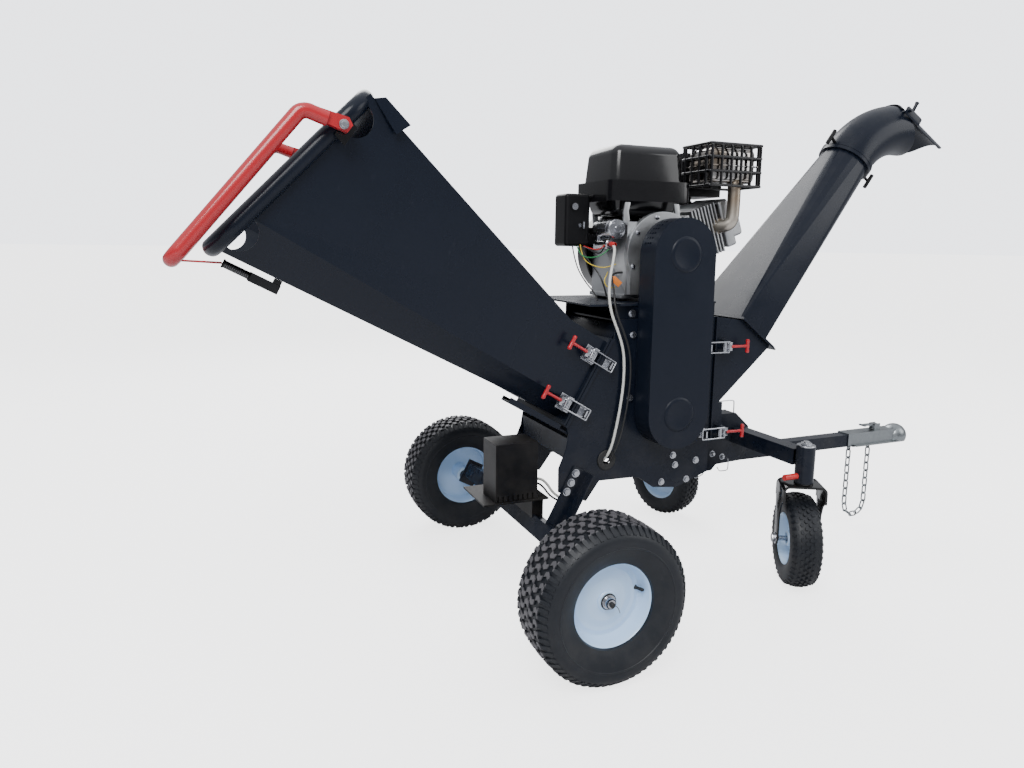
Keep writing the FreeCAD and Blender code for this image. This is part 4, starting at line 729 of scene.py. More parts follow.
def finished_tyre(name, pieces):
    """Carcass and blocks as one mesh, facing outwards."""
    tyre = joined(name, pieces)
    edit(tyre)
    bpy.ops.mesh.normals_make_consistent(inside=False)
    leave()
    return smooth(tyre, 30)


def road_tyre(count):
    """Turf tyre about Z: a carcass with sidewall ribs, chevron blocks in five rows and shoulder lugs."""
    half = [(104, 45), (104.5, 52), (107, 58.5), (113, 62.5), (122, 67), (135, 73.5), (148, 78.5), (151, 79.3),
            (152, 80.6), (154, 80.8), (155.5, 80), (165, 81), (173, 80), (181, 75.5), (188, 69), (193, 60), (195, 50),
            (196, 30), (196.4, 10)]
    pieces = [turned(both_sides(half), 120)]
    chevron = [(-11, -9), (0, -3), (11, -9), (11, 5), (0, 11), (-11, 5)]
    back = [(-11, 9), (-11, -5), (0, -11), (11, -5), (11, 9), (0, 3)]
    for row, height in enumerate((-45, -22.5, 0, 22.5, 45)):
        block = prism(back if row % 2 else chevron, -5, 202.6 - 195.5 - 0.0012 * height ** 2, 0.84)
        pieces += tread_ring(block, 195.5, height, count, 0.5 * (row % 2))
        bpy.data.objects.remove(block)
    lug = prism([(-4, -3.5), (3, -6), (16, -5.6), (27, -4), (27, 4), (16, 5.6), (3, 6), (-4, 3.5)], -5, 4.2, 0.88)
    across = Matrix(((-0.62, 0, 0.784, 196 * MM), (0, -1, 0, 0), (0.784, 0, 0.62, 54 * MM), (0, 0, 0, 1)))
    lugs = count * 3 // 2
    for side in (1, -1):
        for k in range(lugs):
            turn = Matrix.Rotation(2 * pi * (k + 0.5 * (side > 0)) / lugs, 4, "Z")
            pieces.append(copied(lug, turn @ Matrix.Diagonal((1, 1, side, 1)) @ across))
    bpy.data.objects.remove(lug)
    return finished_tyre("tyre", pieces)


def road_rim():
    """Pressed steel rim about Z with a shallow dish, its hub and its two rolled flanges."""
    dish = [(26, 22), (30, 21), (46, 17), (50, 17.6), (54, 17), (66, 13), (74, 12), (78, 13.5), (82, 13), (88, 10),
            (93, 11), (97, 17), (99, 30), (101, 44), (103, 50), (107, 53), (110.5, 55.5), (112, 54.5), (111.5, 51.5),
            (107, 48.5), (104, 44), (103, 30)]
    back = [(103, -30), (104, -44), (107, -48.5), (111.5, -51.5), (112, -54.5), (110.5, -55.5), (107, -53),
            (103, -50), (101, -44), (99, -30), (97, 4), (93, 7), (88, 6.5), (74, 8), (54, 13), (30, 17), (26, 18)]
    shell = turned(dish + back + dish[:1], 96)
    hub = turned([(13, 27), (24, 27), (27, 24), (27, -48), (24, -50), (13, -50), (13, 27)], 48)
    return joined("rim", [smooth(shell, 40), smooth(hub, 40)])


def valve(radius, height):
    """Rubber valve stem with its cap, leaning outwards from the dish."""
    stem = turned([(5.5, 0), (6.5, 2), (4.2, 5), (3.8, 15), (4.4, 16), (4.4, 25), (3.4, 27), (0.5, 27.2)], 20,
                  capped=True)
    return moved(smooth(stem, 40), (radius * MM, 0, height * MM), (0.35, 0, 1))


class CHIPPER_OT_road_wheels(bpy.types.Operator):
    """Build the two turf-tyred road wheels"""
    bl_idname = "chipper.road_wheels"
    bl_label = "Road wheels"

    def execute(self, context):
        tyre, rim, stem = road_tyre(context.scene.chipper_sizes.tread_rows), road_rim(), valve(84, 9)
        for side, name in ((1, "left"), (-1, "right")):
            low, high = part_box("wheel_" + name)
            centre = (low + high) / 2
            twist = radians(10 if side < 0 else 170)
            for piece, label, finish in ((tyre, "tyre_", "road_tyre"), (rim, "rim_", "rim_paint"),
                                         (stem, "valve_", "rubber")):
                part = moved(copied(piece), centre, (0, side, 0), twist)
                part.name = label + name
                close(part, 1e-7)
                standing(part, finish, "wheel_" + name, slot=finish.replace("road_", ""))
            hub_end(name, side)
        for piece in (tyre, rim, stem):
            bpy.data.objects.remove(piece)
        return {"FINISHED"}


HUB_FACE = 562.4                    # Y of the hub's outer end


def hub_end(name, side):
    """Dark seal ring, washer, end of the spindle and its split pin."""
    place, way = spot(0, side * HUB_FACE, WHEEL_CENTRE_Z / MM), (0, side, 0)
    seal = lathe([(12.9, 0), (20.5, 0), (20.5, 1.2), (19.5, 2), (12.9, 2)], 40, place, way)
    heap("hub_seal_" + name, [seal], "rubber")
    washer = lathe([(12.8, 2.0), (17.8, 2.0), (17.8, 3.6), (17.2, 4.2), (12.8, 4.2)], 40, place, way)
    cap = lathe([(13.2, 4.2), (13.4, 4.8), (13.4, 10), (10.5, 15.8), (6.8, 16.4), (0.5, 16.4)], 40, place, way)
    heap("hub_washer_" + name, [washer, cap], "zinc")
    tip = lathe([(0.5, 16), (6.6, 16), (6.6, 22), (5.2, 23.6), (0.5, 23.6)], 32, place, way)
    heap("hub_tip_" + name, [tip], "rubber")
    line = ((-12, 19, 8), (-9, 19, 3), (0, 19, 0), (12, 20, -5), (17, 21, -13), (20, 21, -22))
    pin = tube([place + Vector((x, side * y, z)) * MM for x, y, z in line], 0.0011, resolution=4, ring=2)
    heap("hub_pin_" + name, [pin], "dark_steel")


def caster_tyre(count):
    """Small tyre about Z with a diamond tread."""
    half = [(76, 30), (78, 36), (83, 40), (95, 44), (108, 46), (120, 45), (130, 41), (137, 32), (140, 18)]
    pieces = [turned(both_sides(half), 72)]
    diamond = [(-5.2, -4), (-1.5, -7.4), (1.5, -7.4), (5.2, -4), (5.2, 4), (1.5, 7.4), (-1.5, 7.4), (-5.2, 4)]
    for row, height in enumerate((-30, -18, -6, 6, 18, 30)):
        crown = 139.5 - 0.0075 * height ** 2
        block = prism(diamond, -6, 5.4, 0.8)
        pieces += tread_ring(block, crown, height, count, 0.5 * (row % 2))
        bpy.data.objects.remove(block)
    lug = prism([(-7, -5), (9, -4), (9, 4), (-7, 5)], -6, 3.2, 0.8)
    for side in (1, -1):
        for k in range(count):
            turn = Matrix.Rotation(2 * pi * (k + 0.5) / count, 4, "Z")
            stand = Matrix.Translation((130 * MM, 0, 38.5 * MM)) @ Matrix.Rotation(radians(38), 4, "Y")
            pieces.append(copied(lug, turn @ Matrix.Diagonal((1, 1, side, 1)) @ stand))
    bpy.data.objects.remove(lug)
    return finished_tyre("caster_tyre", pieces)


def caster_rim():
    """Narrow dished rim about Z, the same on both sides."""
    dish = [(17, 30), (22, 29), (26, 14), (44, 10), (60, 9), (66, 12), (70, 24), (72, 32), (76, 37), (79, 39.5),
            (80, 38), (78, 35), (75, 31), (74, 22)]
    shell = turned(both_sides(dish), 64)
    return smooth(shell, 40)


TRAIL, AXLE_Z, FORK_HALF = 29, 145, 64      # caster axle behind its stem, its height, half the yoke's width


def caster_fork(node, joint):
    """Bent yoke with tapered cheeks, its stem nut and the ends of its axle bolt."""
    across = Vector(joint["axis"])
    ahead = across.cross(Vector((0, 0, 1)))
    stem = Vector(joint["pos_m"]) - ahead * TRAIL * MM
    place = Matrix.Translation((stem.x, stem.y, 0)) @ Matrix((ahead, across, (0, 0, 1))).transposed().to_4x4()
    yoke = prism([(-34, -FORK_HALF), (63, -FORK_HALF), (63, FORK_HALF), (-34, FORK_HALF)], 278, 332)
    pick_faces(yoke, lambda normal: normal.z < -0.5 or abs(normal.x) > 0.5)
    bpy.ops.mesh.delete(type="FACE")
    leave()
    eased(yoke, 0.018, 5)
    modify(yoke, "SOLIDIFY", thickness=0.007, offset=-1)
    eased(yoke, 0.0012, 2)
    cheek = [(-30, 300), (59, 300), (56, 272), (50, 238), (49, 145), (43, 131), (29, 125), (15, 131), (9, 145),
             (9, 228), (-4, 262), (-26, 282)]
    pieces = [yoke]
    for low, high in ((-FORK_HALF, 6 - FORK_HALF), (FORK_HALF - 6, FORK_HALF)):
        side = eased(prism(cheek, low, high), 0.0012, 2)
        side.data.transform(Matrix.Rotation(pi / 2, 4, "X"))
        pieces.append(side)
    pieces.append(turned([(0.5, 330), (27, 330), (28, 331.5), (28, 337.4), (0.5, 337.7)], 40))
    yoke = joined(node + "_yoke", pieces)
    yoke.data.transform(place)
    standing(smooth(close(yoke, 1e-7)), "black_paint", node)
    nut = [turned([(0.5, 450.4), (27, 450.4), (27, 453), (26, 454.3), (0.5, 454.3)], 40),
           eased(prism(hexagon(16), 454.3, 462), 0.001),
           turned([(0.5, 462), (9, 462), (9, 465), (8, 466), (0.5, 466)], 24)]
    nut += [lathe([(0.5, -70), (8, -70), (8, 70), (0.5, 70)], 24, (TRAIL * MM, 0, AXLE_Z * MM), (0, 1, 0))]
    nut += [bolt((TRAIL * MM, FORK_HALF * MM * end, AXLE_Z * MM), (0, end, 0), 13) for end in (1, -1)]
    nut = joined(node + "_bolts", nut)
    nut.data.transform(place)
    standing(smooth(nut), "zinc", node)


class CHIPPER_OT_casters(bpy.types.Operator):
    """Build the two caster wheels with their knobbly tyres"""
    bl_idname = "chipper.casters"
    bl_label = "Casters"

    def execute(self, context):
        tyre, rim = caster_tyre(context.scene.chipper_sizes.caster_rows), caster_rim()
        for joint in frame["joints"]:
            if not joint["name"].startswith("caster_") or not joint["name"].endswith("_roll"):
                continue
            node = joint["child"]
            caster_fork(joint["parent"], joint)
            for piece, label, finish in ((tyre, "tyre_", "tyre"), (rim, "rim_", "rim_paint")):
                part = moved(copied(piece), joint["pos_m"], joint["axis"])
                part.name = label + node
                standing(part, finish, node)
        for piece in (tyre, rim):
            bpy.data.objects.remove(piece)
        return {"FINISHED"}


# ---- hopper, safety bar and latches -------------------------------------------------------------------
def heap(name, pieces, material, *nodes, body=None, slot=None, angle=35.0):
    """Joins pieces into one finished object."""
    return standing(smooth(joined(name, pieces), angle), material, *nodes, body=body, slot=slot)


def grip_lever(name, joint):
    """Toggle lever with a moulded T grip, built about its pivot: X towards the hook, Z along the pin."""
    plate = eased(prism([(-26, -3), (8, -3), (8, 3), (-26, 3)], -13, 13), 0.001)
    eye = turned([(3.2, -14), (6.4, -13.4), (6.4, 13.4), (3.2, 14), (3.2, -14)], 24)
    cheeks = [moved(eased(prism([(-5, -14), (5, -14), (5, -1), (-5, -1)], -1.5, 1.5), 0.0006), (-0.010, 0, s * 0.008))
              for s in (-1, 1)]
    steel = [plate, eye, *cheeks]
    shank = moved(turned([(0.5, 0), (4.0, 0.4), (5.4, 3), (4.3, 14), (4.0, 40), (5.2, 54), (0.5, 55)], 20),
                  (-22 * MM, 0, 0), (-58, -5, 0))
    grip = moved(turned([(0.5, -21.5), (3.5, -21.2), (5.8, -19), (6.2, -14), (5.2, -9), (6.0, 0), (5.2, 9), (6.2, 14),
                         (5.8, 19), (3.5, 21.2), (0.5, 21.5)], 20), (-80 * MM, -5 * MM, 0))
    return heap_at(name + "_steel", steel, joint, "zinc", name), heap_at(name + "_grip", [shank, grip], joint,
                                                                          "red_paint", name)


def heap_at(name, pieces, joint, material, node):
    """Joined pieces made about a latch's pivot, put at the joint."""
    axis = Vector(joint["axis"])
    across = Vector((0, 1, 0))
    ahead = across.cross(axis)
    turn = Matrix((ahead, across, axis)).transposed().to_4x4()
    obj = joined(name, pieces)
    obj.data.transform(Matrix.Translation(Vector(joint["pos_m"])) @ turn)
    return standing(smooth(close(obj, 1e-6)), material, node)


class CHIPPER_OT_latches(bpy.types.Operator):
    """Build the four toggle latches with their red grips and wire hooks"""
    bl_idname = "chipper.latches"
    bl_label = "Latches"

    def execute(self, context):
        for joint in frame["joints"]:
            if joint["name"].endswith("_lever_swing"):
                grip_lever(joint["child"], joint)
            elif joint["name"].endswith("_hook_swing"):
                far, half, bend = 0.082, 0.016, 0.004
                corners = [(0, -half + bend), (0, half - bend), (0, half), (bend, half), (far - bend, half),
                           (far, half), (far, half - bend), (far, -half + bend), (far, -half), (far - bend, -half),
                           (bend, -half), (0, -half)]
                loop = tube([(x, 0, z) for x, z in corners], 0.0025, cyclic=True, resolution=4, ring=3)
                heap_at(joint["child"] + "_wire", [loop], joint, "zinc", joint["child"])
        return {"FINISHED"}


class CHIPPER_OT_safety_bar(bpy.types.Operator):
    """Finish the red control bar, its pivots and its return spring"""
    bl_idname = "chipper.safety_bar"
    bl_label = "Safety bar"

    def execute(self, context):
        polished("control_bar", "control_bar_tube", 0.0015, "red_paint", 50)
        mouth_side, latch_side = parted(welded("hopper_fittings", "hopper_fittings"), -300)
        rounded(mouth_side, 0.001, "black_paint", "hopper_fittings")
        rounded(latch_side, 0.0006, "zinc", "hopper_fittings")
        caps = [lathe([(0.5, 10), (5.5, 10), (6.8, 8.8), (6.8, 7.6), (9.6, 7.4), (10.4, 6.6), (10.4, 0), (0.5, 0)], 32,
                      spot(-556, side * 341.3, 1283), (0, side, 0)) for side in (1, -1)]
        heap("bar_pivot_caps", caps, "zinc", body="hopper")
        first, last = Vector((-804.2, -150, 985.9)), Vector((-747.5, -150, 956.3))
        way, turns, steps, radius = last - first, 13, 8, 8.6
        line = [Vector((radius * cos(2 * pi * k / steps), radius * sin(2 * pi * k / steps), 2 + 58 * k / turns / steps))
                * MM for k in range(turns * steps + 1)]
        coil = moved(tube(line, 0.0012, resolution=2, ring=2), spot(*first), way)
        heap("return_spring", [coil], "zinc", body="hopper")
        ends = [lathe([(0.5, 0), (10.5, 0), (10.5, 4), (7, 5), (0.5, 5)], 24, spot(*(first + way * share)), way)
                for share in (-0.02, 0.96)]
        heap("spring_ends", ends, "black_plastic", body="hopper")
        return {"FINISHED"}


# ---- engine -------------------------------------------------------------------------------------------
def pinch(obj, side, scale):
    """Resizes the top (side 1) or bottom (side -1) face of a box."""
    pick_faces(obj, lambda normal: normal.z * side > 0.9)
    bpy.ops.transform.resize(value=scale)
    leave()


def slice_off(obj, height, below):
    """Cuts a piece level at a height and keeps the upper or lower part."""
    edit(obj)
    bpy.ops.mesh.bisect(plane_co=(0, 0, height * MM), plane_no=(0, 0, 1), use_fill=True, clear_inner=below,
                        clear_outer=not below)
    leave()


TANK_SEAM = 1194


def fuel_tank():
    """Pressed tank: two crowned halves under a rolled seam, and its ribbed cap."""
    (x_low, y_low, z_low), (x_high, y_high, z_high) = box_mm("fuel_tank")
    top = brick((x_low + 9, y_low + 9, TANK_SEAM - 60), (x_high - 9, y_high - 9, z_high))
    pinch(top, 1, (0.88, 0.84, 1))
    eased(top, 0.030, 7)
    slice_off(top, TANK_SEAM, below=True)
    bottom = brick((x_low + 11, y_low + 11, z_low), (x_high - 11, y_high - 11, TANK_SEAM + 40))
    pinch(bottom, -1, (0.80, 0.74, 1))
    eased(bottom, 0.022, 5)
    slice_off(bottom, TANK_SEAM, below=False)
    rim = brick((x_low, y_low, TANK_SEAM - 3), (x_high, y_high, TANK_SEAM + 3))
    edit(rim)
    bpy.ops.mesh.select_all(action="DESELECT")
    leave()
    for edge in rim.data.edges:
        a, b = (rim.data.vertices[i].co for i in edge.vertices)
        edge.select = abs(a.z - b.z) > 0.003
    bpy.ops.object.mode_set(mode="EDIT")
    bpy.ops.mesh.bevel(offset=0.034, segments=8)
    leave()
    eased(rim, 0.0025, 3, 60)
    heap("fuel_tank_shell", [top, bottom, rim], "black_paint", "fuel_tank")
    cap_low, cap_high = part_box("fuel_cap")
    middle = (cap_low + cap_high) / 2
    ribs = []
    for k in range(24):
        a = 2 * pi * k / 24
        rib = eased(prism([(-2, -1.6), (2, -1.0), (2, 1.0), (-2, 1.6)], 1.0, 9.5), 0.0004)
        ribs.append(moved(rib, (0.030 * cos(a), 0.030 * sin(a), 0), twist=a))
    lid = turned([(22, -13), (23.5, -13), (23.5, 0), (29.5, 0), (30, 1), (30, 9), (27, 11.5), (14, 12), (13, 11),
                  (0.5, 11)])
    cap = joined("fuel_cap_lid", [lid, *ribs])
    moved(cap, (middle.x, middle.y, cap_high.z - 0.012))
    standing(smooth(cap), "black_plastic", "fuel_cap")


def recoil_fan():
    """Recoil cover: a pressed drum with a ring of slots and a raised middle."""
    low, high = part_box("recoil_shroud")
    centre = (low + high) / 2
    depth, radius = (high.y - low.y) / MM, (high.x - low.x) / 2 / MM
    drum = turned([(radius - 4, 0), (radius, 1), (radius, depth - 36), (radius - 8, depth - 26),
                   (100, depth - 23), (96, depth - 20), (95, depth - 6), (88, depth), (30, depth),
                   (26, depth - 3), (0.5, depth - 3)], 72)
    modify(drum, "SOLIDIFY", thickness=0.003, offset=-1)
    slots = []
    for ring, count, length in ((72, 20, 9), (50, 14, 8)):
        for k in range(count):
            a = 2 * pi * k / count
            piece = eased(prism([(-length, -2.2), (length, -2.2), (length, 2.2), (-length, 2.2)], -1, 1.2), 0.0008)
            slots.append(moved(piece, (ring * MM * cos(a), ring * MM * sin(a), depth * MM - 0.0012), twist=a))
    drum = joined("recoil_drum", [drum, *slots])
    moved(drum, (centre.x, low.y, centre.z), (0, 1, 0))
    standing(smooth(drum), "black_paint", "recoil_shroud")


STARTER = (257, 1085)


def starter_motor():
    """Starter: plated can with end cap, through bolts, solenoid and terminal."""
    sx, sz = STARTER
    near = box_mm("starter_motor")[0].y + 5
    can = lathe([(0.5, 0), (9, 0), (9.5, -1), (10, 4), (26, 5), (28.4, 7.5), (28.8, 12), (28.8, 22), (28.0, 23),
                 (28.0, 24.4), (28.8, 25.4), (28.8, 88), (27, 90), (27, 108), (24, 112), (0.5, 112)], 56,
                spot(sx, near, sz), (0, 1, 0))
    solenoid = lathe([(0.5, -12), (3, -12), (3, -3), (12, -2.5), (14.6, 0), (14.6, 62), (12, 66), (0.5, 66)], 36,
                     spot(sx - 16, near + 18, sz - 44), (0, 1, 0))
    pieces = [can, solenoid]
    for k in range(4):
        a = radians(45 + 90 * k)
        pieces.append(bolt(spot(sx + 21 * cos(a), near + 5.5, sz + 21 * sin(a)), (0, -1, 0), 3.0, False))
    strap = eased(brick((sx - 20, -30, sz - 60), (290, -4, sz + 20)), 0.003)
    heap("starter_can", pieces + [strap], "zinc", "starter_motor")


CAGE_BAR = 0.0042


def hoop(a0, a1, foot, top, bend=14):
    """Points of an open hoop with bent corners, as (across, up)."""
    return ((a0, foot), (a0, top - bend), (a0, top), (a0 + bend, top), (a1 - bend, top), (a1, top), (a1, top - bend),
            (a1, foot))


def muffler():
    """Chromed can in a cage of black bars, its curved pipe and the flange on the cylinder head."""
    can = eased(brick((553, -137, 1228), (718, -17, 1330)), 0.018, 5)
    seam_line = eased(brick((549, -140, 1276), (722, -14, 1280)), 0.0015, 2)
    heap("muffler_can", [can, seam_line], "chrome", "muffler")
    line = ((658, -116, 1234), (658, -116, 1200), (658, -116, 1150), (656, -116, 1118), (646, -108, 1104),
            (636, -92, 1100), (632, -80, 1100))
    pipe = wire(line, 0.0195, 8, 8)
    collars = [lathe([(0.5, 0), (24, 0), (24, 6), (18, 9), (0.5, 9)], 32, spot(658, -116, 1222)),
               lathe([(0.5, 0), (25, 0), (25, 8), (0.5, 8)], 6, spot(632, -84, 1100), (0.1, 1, 0))]
    heap("exhaust_pipe", [pipe, *collars], "heated_steel", slot="chrome")
    low, high = box_mm("muffler_cage")
    inset = Vector((3, 3, 3))
    (x0, y0, z0), (x1, y1, z1) = low + inset, high - inset
    bars = []
    for z in (z0, z0 + 41, z0 + 82, z1):
        ring = [(x0, y0 + 14), (x0, y0), (x0 + 14, y0), (x1 - 14, y0), (x1, y0), (x1, y0 + 14), (x1, y1 - 14),
                (x1, y1), (x1 - 14, y1), (x0 + 14, y1), (x0, y1), (x0, y1 - 14)]
        bars.append(wire([(x, y, z) for x, y in ring], CAGE_BAR, ring=3, cyclic=True))
    for k in range(6):
        x = x0 + 6 + (x1 - x0 - 12) * k / 5
        bars.append(wire([(x, y, z) for y, z in hoop(y0, y1, z0, z1)], CAGE_BAR, ring=3))
    for k in range(4):
        y = y0 + 18 + (y1 - y0 - 36) * k / 3
        bars.append(wire([(x, y, z) for x, z in hoop(x0, x1, z0, z1)], CAGE_BAR, ring=3))
    heap("muffler_guard", bars, "black_paint", "muffler_cage", angle=50)


def wiring():
    """Loose wires under the starter, a blank tag on its tie, and the arms that carry the tank."""
    runs = (("cable_yellow", 1.6, ((196, 0, 1040), (192, -20, 1000), (206, -60, 978), (236, -92, 972),
                                   (262, -100, 985))),
            ("cable_yellow", 1.6, ((258, -60, 960), (236, -96, 956), (220, -104, 936), (232, -110, 914),
                                   (256, -108, 918))),
            ("cable_green", 1.6, ((188, 10, 1040), (186, -16, 1010), (198, -50, 1000), (222, -90, 1008),
                                  (240, -98, 1030))),
            ("cable_black", 2.4, ((200, 8, 1036), (204, -40, 990), (214, -84, 960), (226, -100, 920),
                                  (236, -96, 892))),
            ("cable_black", 2.0, ((216, 30, 1040), (224, -30, 1020), (226, -70, 1012), (228, -96, 1040),
                                  (240, -100, 1060))),
            ("cable_black", 2.0, ((180, 20, 1036), (176, -10, 980), (190, -50, 930), (210, -80, 896),
                                  (206, -96, 880))),
            ("red_plastic", 1.8, ((210, 6, 1036), (214, -50, 1024), (222, -86, 1028), (234, -100, 1050))))
    for index, (finish, radius, places) in enumerate(runs):
        run = wire(places, radius * MM, 8, 3)
        heap("wire_%d" % index, [run], finish, slot="red_plastic" if "red" in finish else "rubber")
    tag = eased(prism([(-9, -16), (9, -16), (9, 12), (4, 17), (-4, 17), (-9, 12)], -0.5, 0.5), 0.0003)
    moved(tag, spot(254, -118, 936), (-0.35, -1, 0.15), 0.5)
    heap("blank_tag", [tag], "tag_orange", slot="tag_orange")
    arms = []
    for x, lean in ((286, 1), (452, -1)):
        for y in (-112, 70):
            arm = eased(prism([(-9, 0), (9, 0), (14, 30), (10, 58), (-2, 66), (-8, 50), (-4, 26)], -4, 4), 0.002)
            arm.data.transform(Matrix.Diagonal((lean, 1, 1, 1)))
            close(arm)
            moved(arm, (0, 0, 0), (0, -1, 0), pi)
            low = min(v.co.z for v in arm.data.vertices)
            arm.data.transform(Matrix.Translation(spot(x, y, 1096) - Vector((0, 0, low))))
            arms.append(arm)
    heap("tank_arms", arms, "cast_aluminium")


class CHIPPER_OT_engine(bpy.types.Operator):
    """Build the engine's tank, covers, starter and cooling fins"""
    bl_idname = "chipper.engine"
    bl_label = "Engine"

    def execute(self, context):
        fuel_tank()
        recoil_fan()
        starter_motor()
        polished("crankcase", "crankcase_casting", 0.004, "cast_aluminium")
        tilt = radians(CYLINDER_TILT)
        fins, head = parted(welded("cylinder", "cylinder"), CRANK_X + CYLINDER_HEAD * cos(tilt))
        rounded(fins, 0.0012, "cast_aluminium", "cylinder")
        rounded(head, 0.010, "cast_aluminium", "cylinder", segments=4)
        # black block filling the finned barrel of the cylinder: painted shade, so the fins read darker
        fin_shade = eased(brick((CRANK_X + CYLINDER_FOOT, -80, CRANK_Z - 69), (CRANK_X + CYLINDER_HEAD, 76, CRANK_Z + 69)),
                       0.004)
        pivot = Matrix.Translation(spot(CRANK_X, 0, CRANK_Z))
        fin_shade.data.transform(pivot @ Matrix.Rotation(-tilt, 4, "Y") @ pivot.inverted())
        heap("cylinder_baffle", [fin_shade], "black_paint")
        polished("air_cleaner", "air_cleaner_moulding", 0.006, "black_plastic")
        polished("control_box", "control_box_moulding", 0.002, "black_plastic", 40)
        polished("battery_box", "battery_box_moulding", 0.002, "black_plastic")
        muffler()
        wiring()
        face = box_mm("crankcase")[0].y + 14
        turns = [radians(angle) for angle in (20, 62, 104, 146, 200, 255, 305, 345)]
        bolts = [bolt(spot(CRANK_X + 108 * cos(turn), face, CRANK_Z + 108 * sin(turn)), (0, -1, 0), 5.5)
                 for turn in turns]
        heap("crankcase_bolts", bolts, "zinc")
        return {"FINISHED"}


# ---- leads --------------------------------------------------------------------------------------------
WHITE_ROUTE = [(241, -100, 1041), (241, -126, 1041), (226, -150, 1006), (206, -165, 952), (197, -177, 900),
               (206, -178, 850), (230, -177, 800), (251, -177, 745), (256, -177, 690), (254, -177, 630),
               (246, -177, 570), (236, -177, 515), (224, -177, 464), (214, -170, 432), (206, -142, 404),
               (198, -126, 356), (178, -122, 314), (140, -120, 294), (96, -118, 298), (66, -116, 320),
               (46, -115, 352), (24, -114, 370), (0, -114, 370)]
BLACK_ROUTE = [(290, -90, 960), (266, -90, 960), (246, -106, 950), (232, -134, 932), (222, -164, 906),
               (214, -182, 876), (222, -189, 838), (244, -189, 795), (265, -189, 740), (271, -189, 685),
               (268, -189, 625), (260, -189, 565), (248, -189, 510), (234, -187, 460), (221, -174, 422),
               (212, -146, 390), (206, -112, 348), (184, -106, 306), (144, -102, 282), (98, -100, 284),
               (64, -98, 306), (44, -96, 336), (22, -95, 352), (0, -95, 352)]


def curve_length(curve):
    """Length of a curve's own smooth line."""
    bare = curve.data.copy()
    bare.bevel_depth = 0
    probe = bpy.data.objects.new("probe", bare)
    bpy.context.scene.collection.objects.link(probe)
    bpy.context.view_layer.update()
    line = bpy.data.meshes.new_from_object(probe)
    total = sum((line.vertices[a].co - line.vertices[b].co).length for a, b in (e.vertices for e in line.edges))
    bpy.data.objects.remove(probe)
    bpy.data.meshes.remove(line)
    return total


class CHIPPER_OT_leads(bpy.types.Operator):
    """Lay the battery leads with their boot and grommet"""
    bl_idname = "chipper.leads"
    bl_label = "Leads"

    def execute(self, context):
        for name, route, radius, finish in (("lead_white", WHITE_ROUTE, 4.0, "cable_white"),
                                            ("lead_black", BLACK_ROUTE, 3.0, "cable_black")):
            lead = wire_curve([spot(*p) for p in route], radius * MM, resolution=12)
            lead.name = name
            length = curve_length(lead)
            standing(lead, finish, "battery_cables", slot="cable_white" if "white" in name else "rubber")
        boot = lathe([(4.2, 0), (6.5, 0.5), (7.5, 4), (7, 12), (5.2, 24), (4.3, 26), (4.2, 0)], 24,
                     spot(241, -103, 1041), (0, -1, 0))
        heap("lead_boot", [boot], "red_plastic")
        grommet = lathe([(13, 0), (30, 0), (30, 2.5), (28, 4), (16, 4), (13, 2.5), (13, 0)], 40,
                        spot(213, -165.3, 419), (0, -1, 0))
        heap("lead_grommet", [grommet], "rubber")
        return {"FINISHED"}


# ---- everything else ----------------------------------------------------------------------------------
class CHIPPER_OT_carried(bpy.types.Operator):
    """Give every frame node that still shows its own finish"""
    bl_idname = "chipper.carried"
    bl_label = "Carried parts"

    def execute(self, context):
        own = {"start_button": "zinc", "safety_chain": "galvanised", "coupler": "galvanised",
               "coupler_latch": "galvanised"}
        for name, obj in NODES.items():
            if obj.hide_render:
                continue
            material = FINISH[own.get(name, SLOT_OF[name])]
            for slot in obj.material_slots:
                slot.link = "OBJECT"
                slot.material = material
        return {"FINISHED"}


CAMERA_LENS, CAMERA_SHIFT = 25.95, (-0.0018, -0.0179)
CAMERA_PLACE, CAMERA_ANGLES = (-848.6, -1983.2, 1033.7), (22.82, 9.23, -0.71)    # course, pitch down and roll


def sky(tree):
    """Soft studio dome: bright overhead, dimmer at the horizon, plain where the camera looks past the machine."""
    nodes, links = tree.nodes, tree.links
    split = nodes.new("ShaderNodeSeparateXYZ")
    links.new(nodes.new("ShaderNodeTexCoord").outputs["Generated"], split.inputs[0])
    glow = spread(nodes, links, split.outputs["Z"], -0.05, 0.85, 0.14, 1.25)
    seen = nodes.new("ShaderNodeLightPath").outputs["Is Camera Ray"]
    strength = spread(nodes, links, seen, 0.0, 1.0, glow, 3.1)
    links.new(strength, nodes["Background"].inputs["Strength"])
    nodes["Background"].inputs["Color"].default_value = (0.93, 0.95, 1.0, 1)


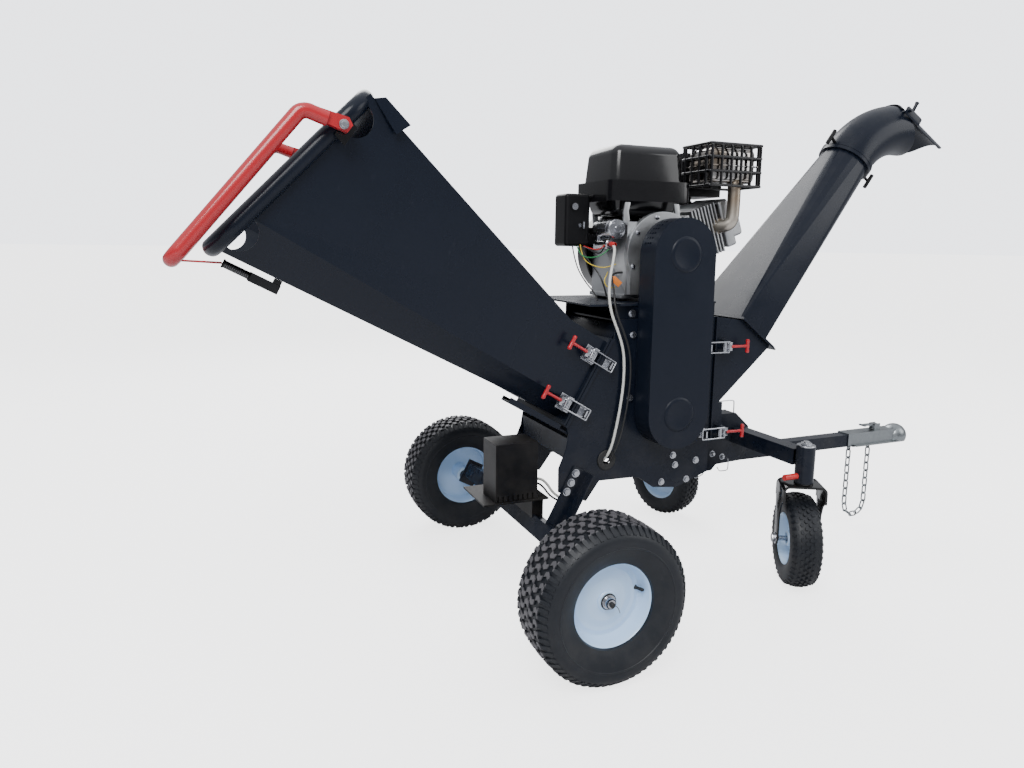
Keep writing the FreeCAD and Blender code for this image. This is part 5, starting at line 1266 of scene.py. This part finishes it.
class CHIPPER_OT_stage(bpy.types.Operator):
    """Make the floor, the lights and the camera"""
    bl_idname = "chipper.stage"
    bl_label = "Stage"

    def execute(self, context):
        clear()
        bpy.ops.mesh.primitive_plane_add(size=400, location=(0, 0, 0))
        floor = bpy.context.object
        floor.name = "floor"
        white = bpy.data.materials.new("floor_white")
        white.use_nodes = True
        nodes, links = white.node_tree.nodes, white.node_tree.links
        coat = nodes["Principled BSDF"]
        put(coat, {"Base Color": (0.62, 0.62, 0.63, 1), "Roughness": 0.9, "Specular IOR Level": 0.0,
                   "Emission Color": (1, 1, 1, 1)})
        seen = nodes.new("ShaderNodeLightPath").outputs["Is Camera Ray"]
        links.new(spread(nodes, links, seen, 0.0, 1.0, 0.0, 2.6), coat.inputs["Emission Strength"])
        floor.data.materials.append(white)
        world = bpy.data.worlds.new("studio")
        world.use_nodes = True
        sky(world.node_tree)
        context.scene.world = world
        for name, place, size, power in (("key", (-2.6, -3.4, 4.6), 2.6, 260), ("fill", (3.8, -2.6, 2.6), 2.6, 60),
                                         ("back", (0.5, 3.8, 3.8), 3.0, 160)):
            lamp = bpy.data.lights.new(name, "AREA")
            lamp.size, lamp.energy = size, power
            light = bpy.data.objects.new(name, lamp)
            light.location = place
            light.rotation_euler = (Vector((0, 0, 0.7)) - Vector(place)).to_track_quat("-Z", "Y").to_euler()
            context.scene.collection.objects.link(light)
        lens = bpy.data.cameras.new("camera")
        lens.lens, lens.sensor_width = CAMERA_LENS, 36.0
        lens.shift_x, lens.shift_y = CAMERA_SHIFT
        camera = bpy.data.objects.new("camera", lens)
        course, pitch, roll = (radians(angle) for angle in CAMERA_ANGLES)
        ahead = Vector((sin(course) * cos(pitch), cos(course) * cos(pitch), -sin(pitch)))
        right = Vector((cos(course), -sin(course), 0))
        down = ahead.cross(right)
        side = cos(roll) * right + sin(roll) * down
        under = -sin(roll) * right + cos(roll) * down
        turn = Matrix((side, -under, -ahead)).transposed().to_4x4()
        camera.matrix_world = Matrix.Translation(spot(*CAMERA_PLACE)) @ turn
        context.scene.collection.objects.link(camera)
        context.scene.camera = camera
        return {"FINISHED"}


STEPS = (CHIPPER_OT_finishes, CHIPPER_OT_stage, CHIPPER_OT_sheet_metal, CHIPPER_OT_road_wheels, CHIPPER_OT_casters,
         CHIPPER_OT_latches, CHIPPER_OT_safety_bar, CHIPPER_OT_engine, CHIPPER_OT_leads, CHIPPER_OT_carried)


class CHIPPER_PT_panel(bpy.types.Panel):
    """Sizes, colours and building steps of the chipper"""
    bl_idname = "CHIPPER_PT_panel"
    bl_label = "Wood chipper"
    bl_space_type = "VIEW_3D"
    bl_region_type = "UI"
    bl_category = "Chipper"

    def draw(self, context):
        layout = self.layout
        for group in (context.scene.chipper_finish, context.scene.chipper_sizes):
            for key in group.__annotations__:
                layout.prop(group, key)
        for step in STEPS:
            layout.operator(step.bl_idname)


CLASSES = (ChipperFinish, ChipperSizes, *STEPS, CHIPPER_PT_panel)


def register():
    for cls in CLASSES:
        bpy.utils.register_class(cls)
    bpy.types.Scene.chipper_finish = PointerProperty(type=ChipperFinish)
    bpy.types.Scene.chipper_sizes = PointerProperty(type=ChipperSizes)


def unregister():
    del bpy.types.Scene.chipper_sizes
    del bpy.types.Scene.chipper_finish
    for cls in reversed(CLASSES):
        bpy.utils.unregister_class(cls)


def main():
    """Builds everything in order."""
    register()
    for step in STEPS:
        group, call = step.bl_idname.split(".")
        getattr(getattr(bpy.ops, group), call)()


if __name__ == "__main__":
    main()
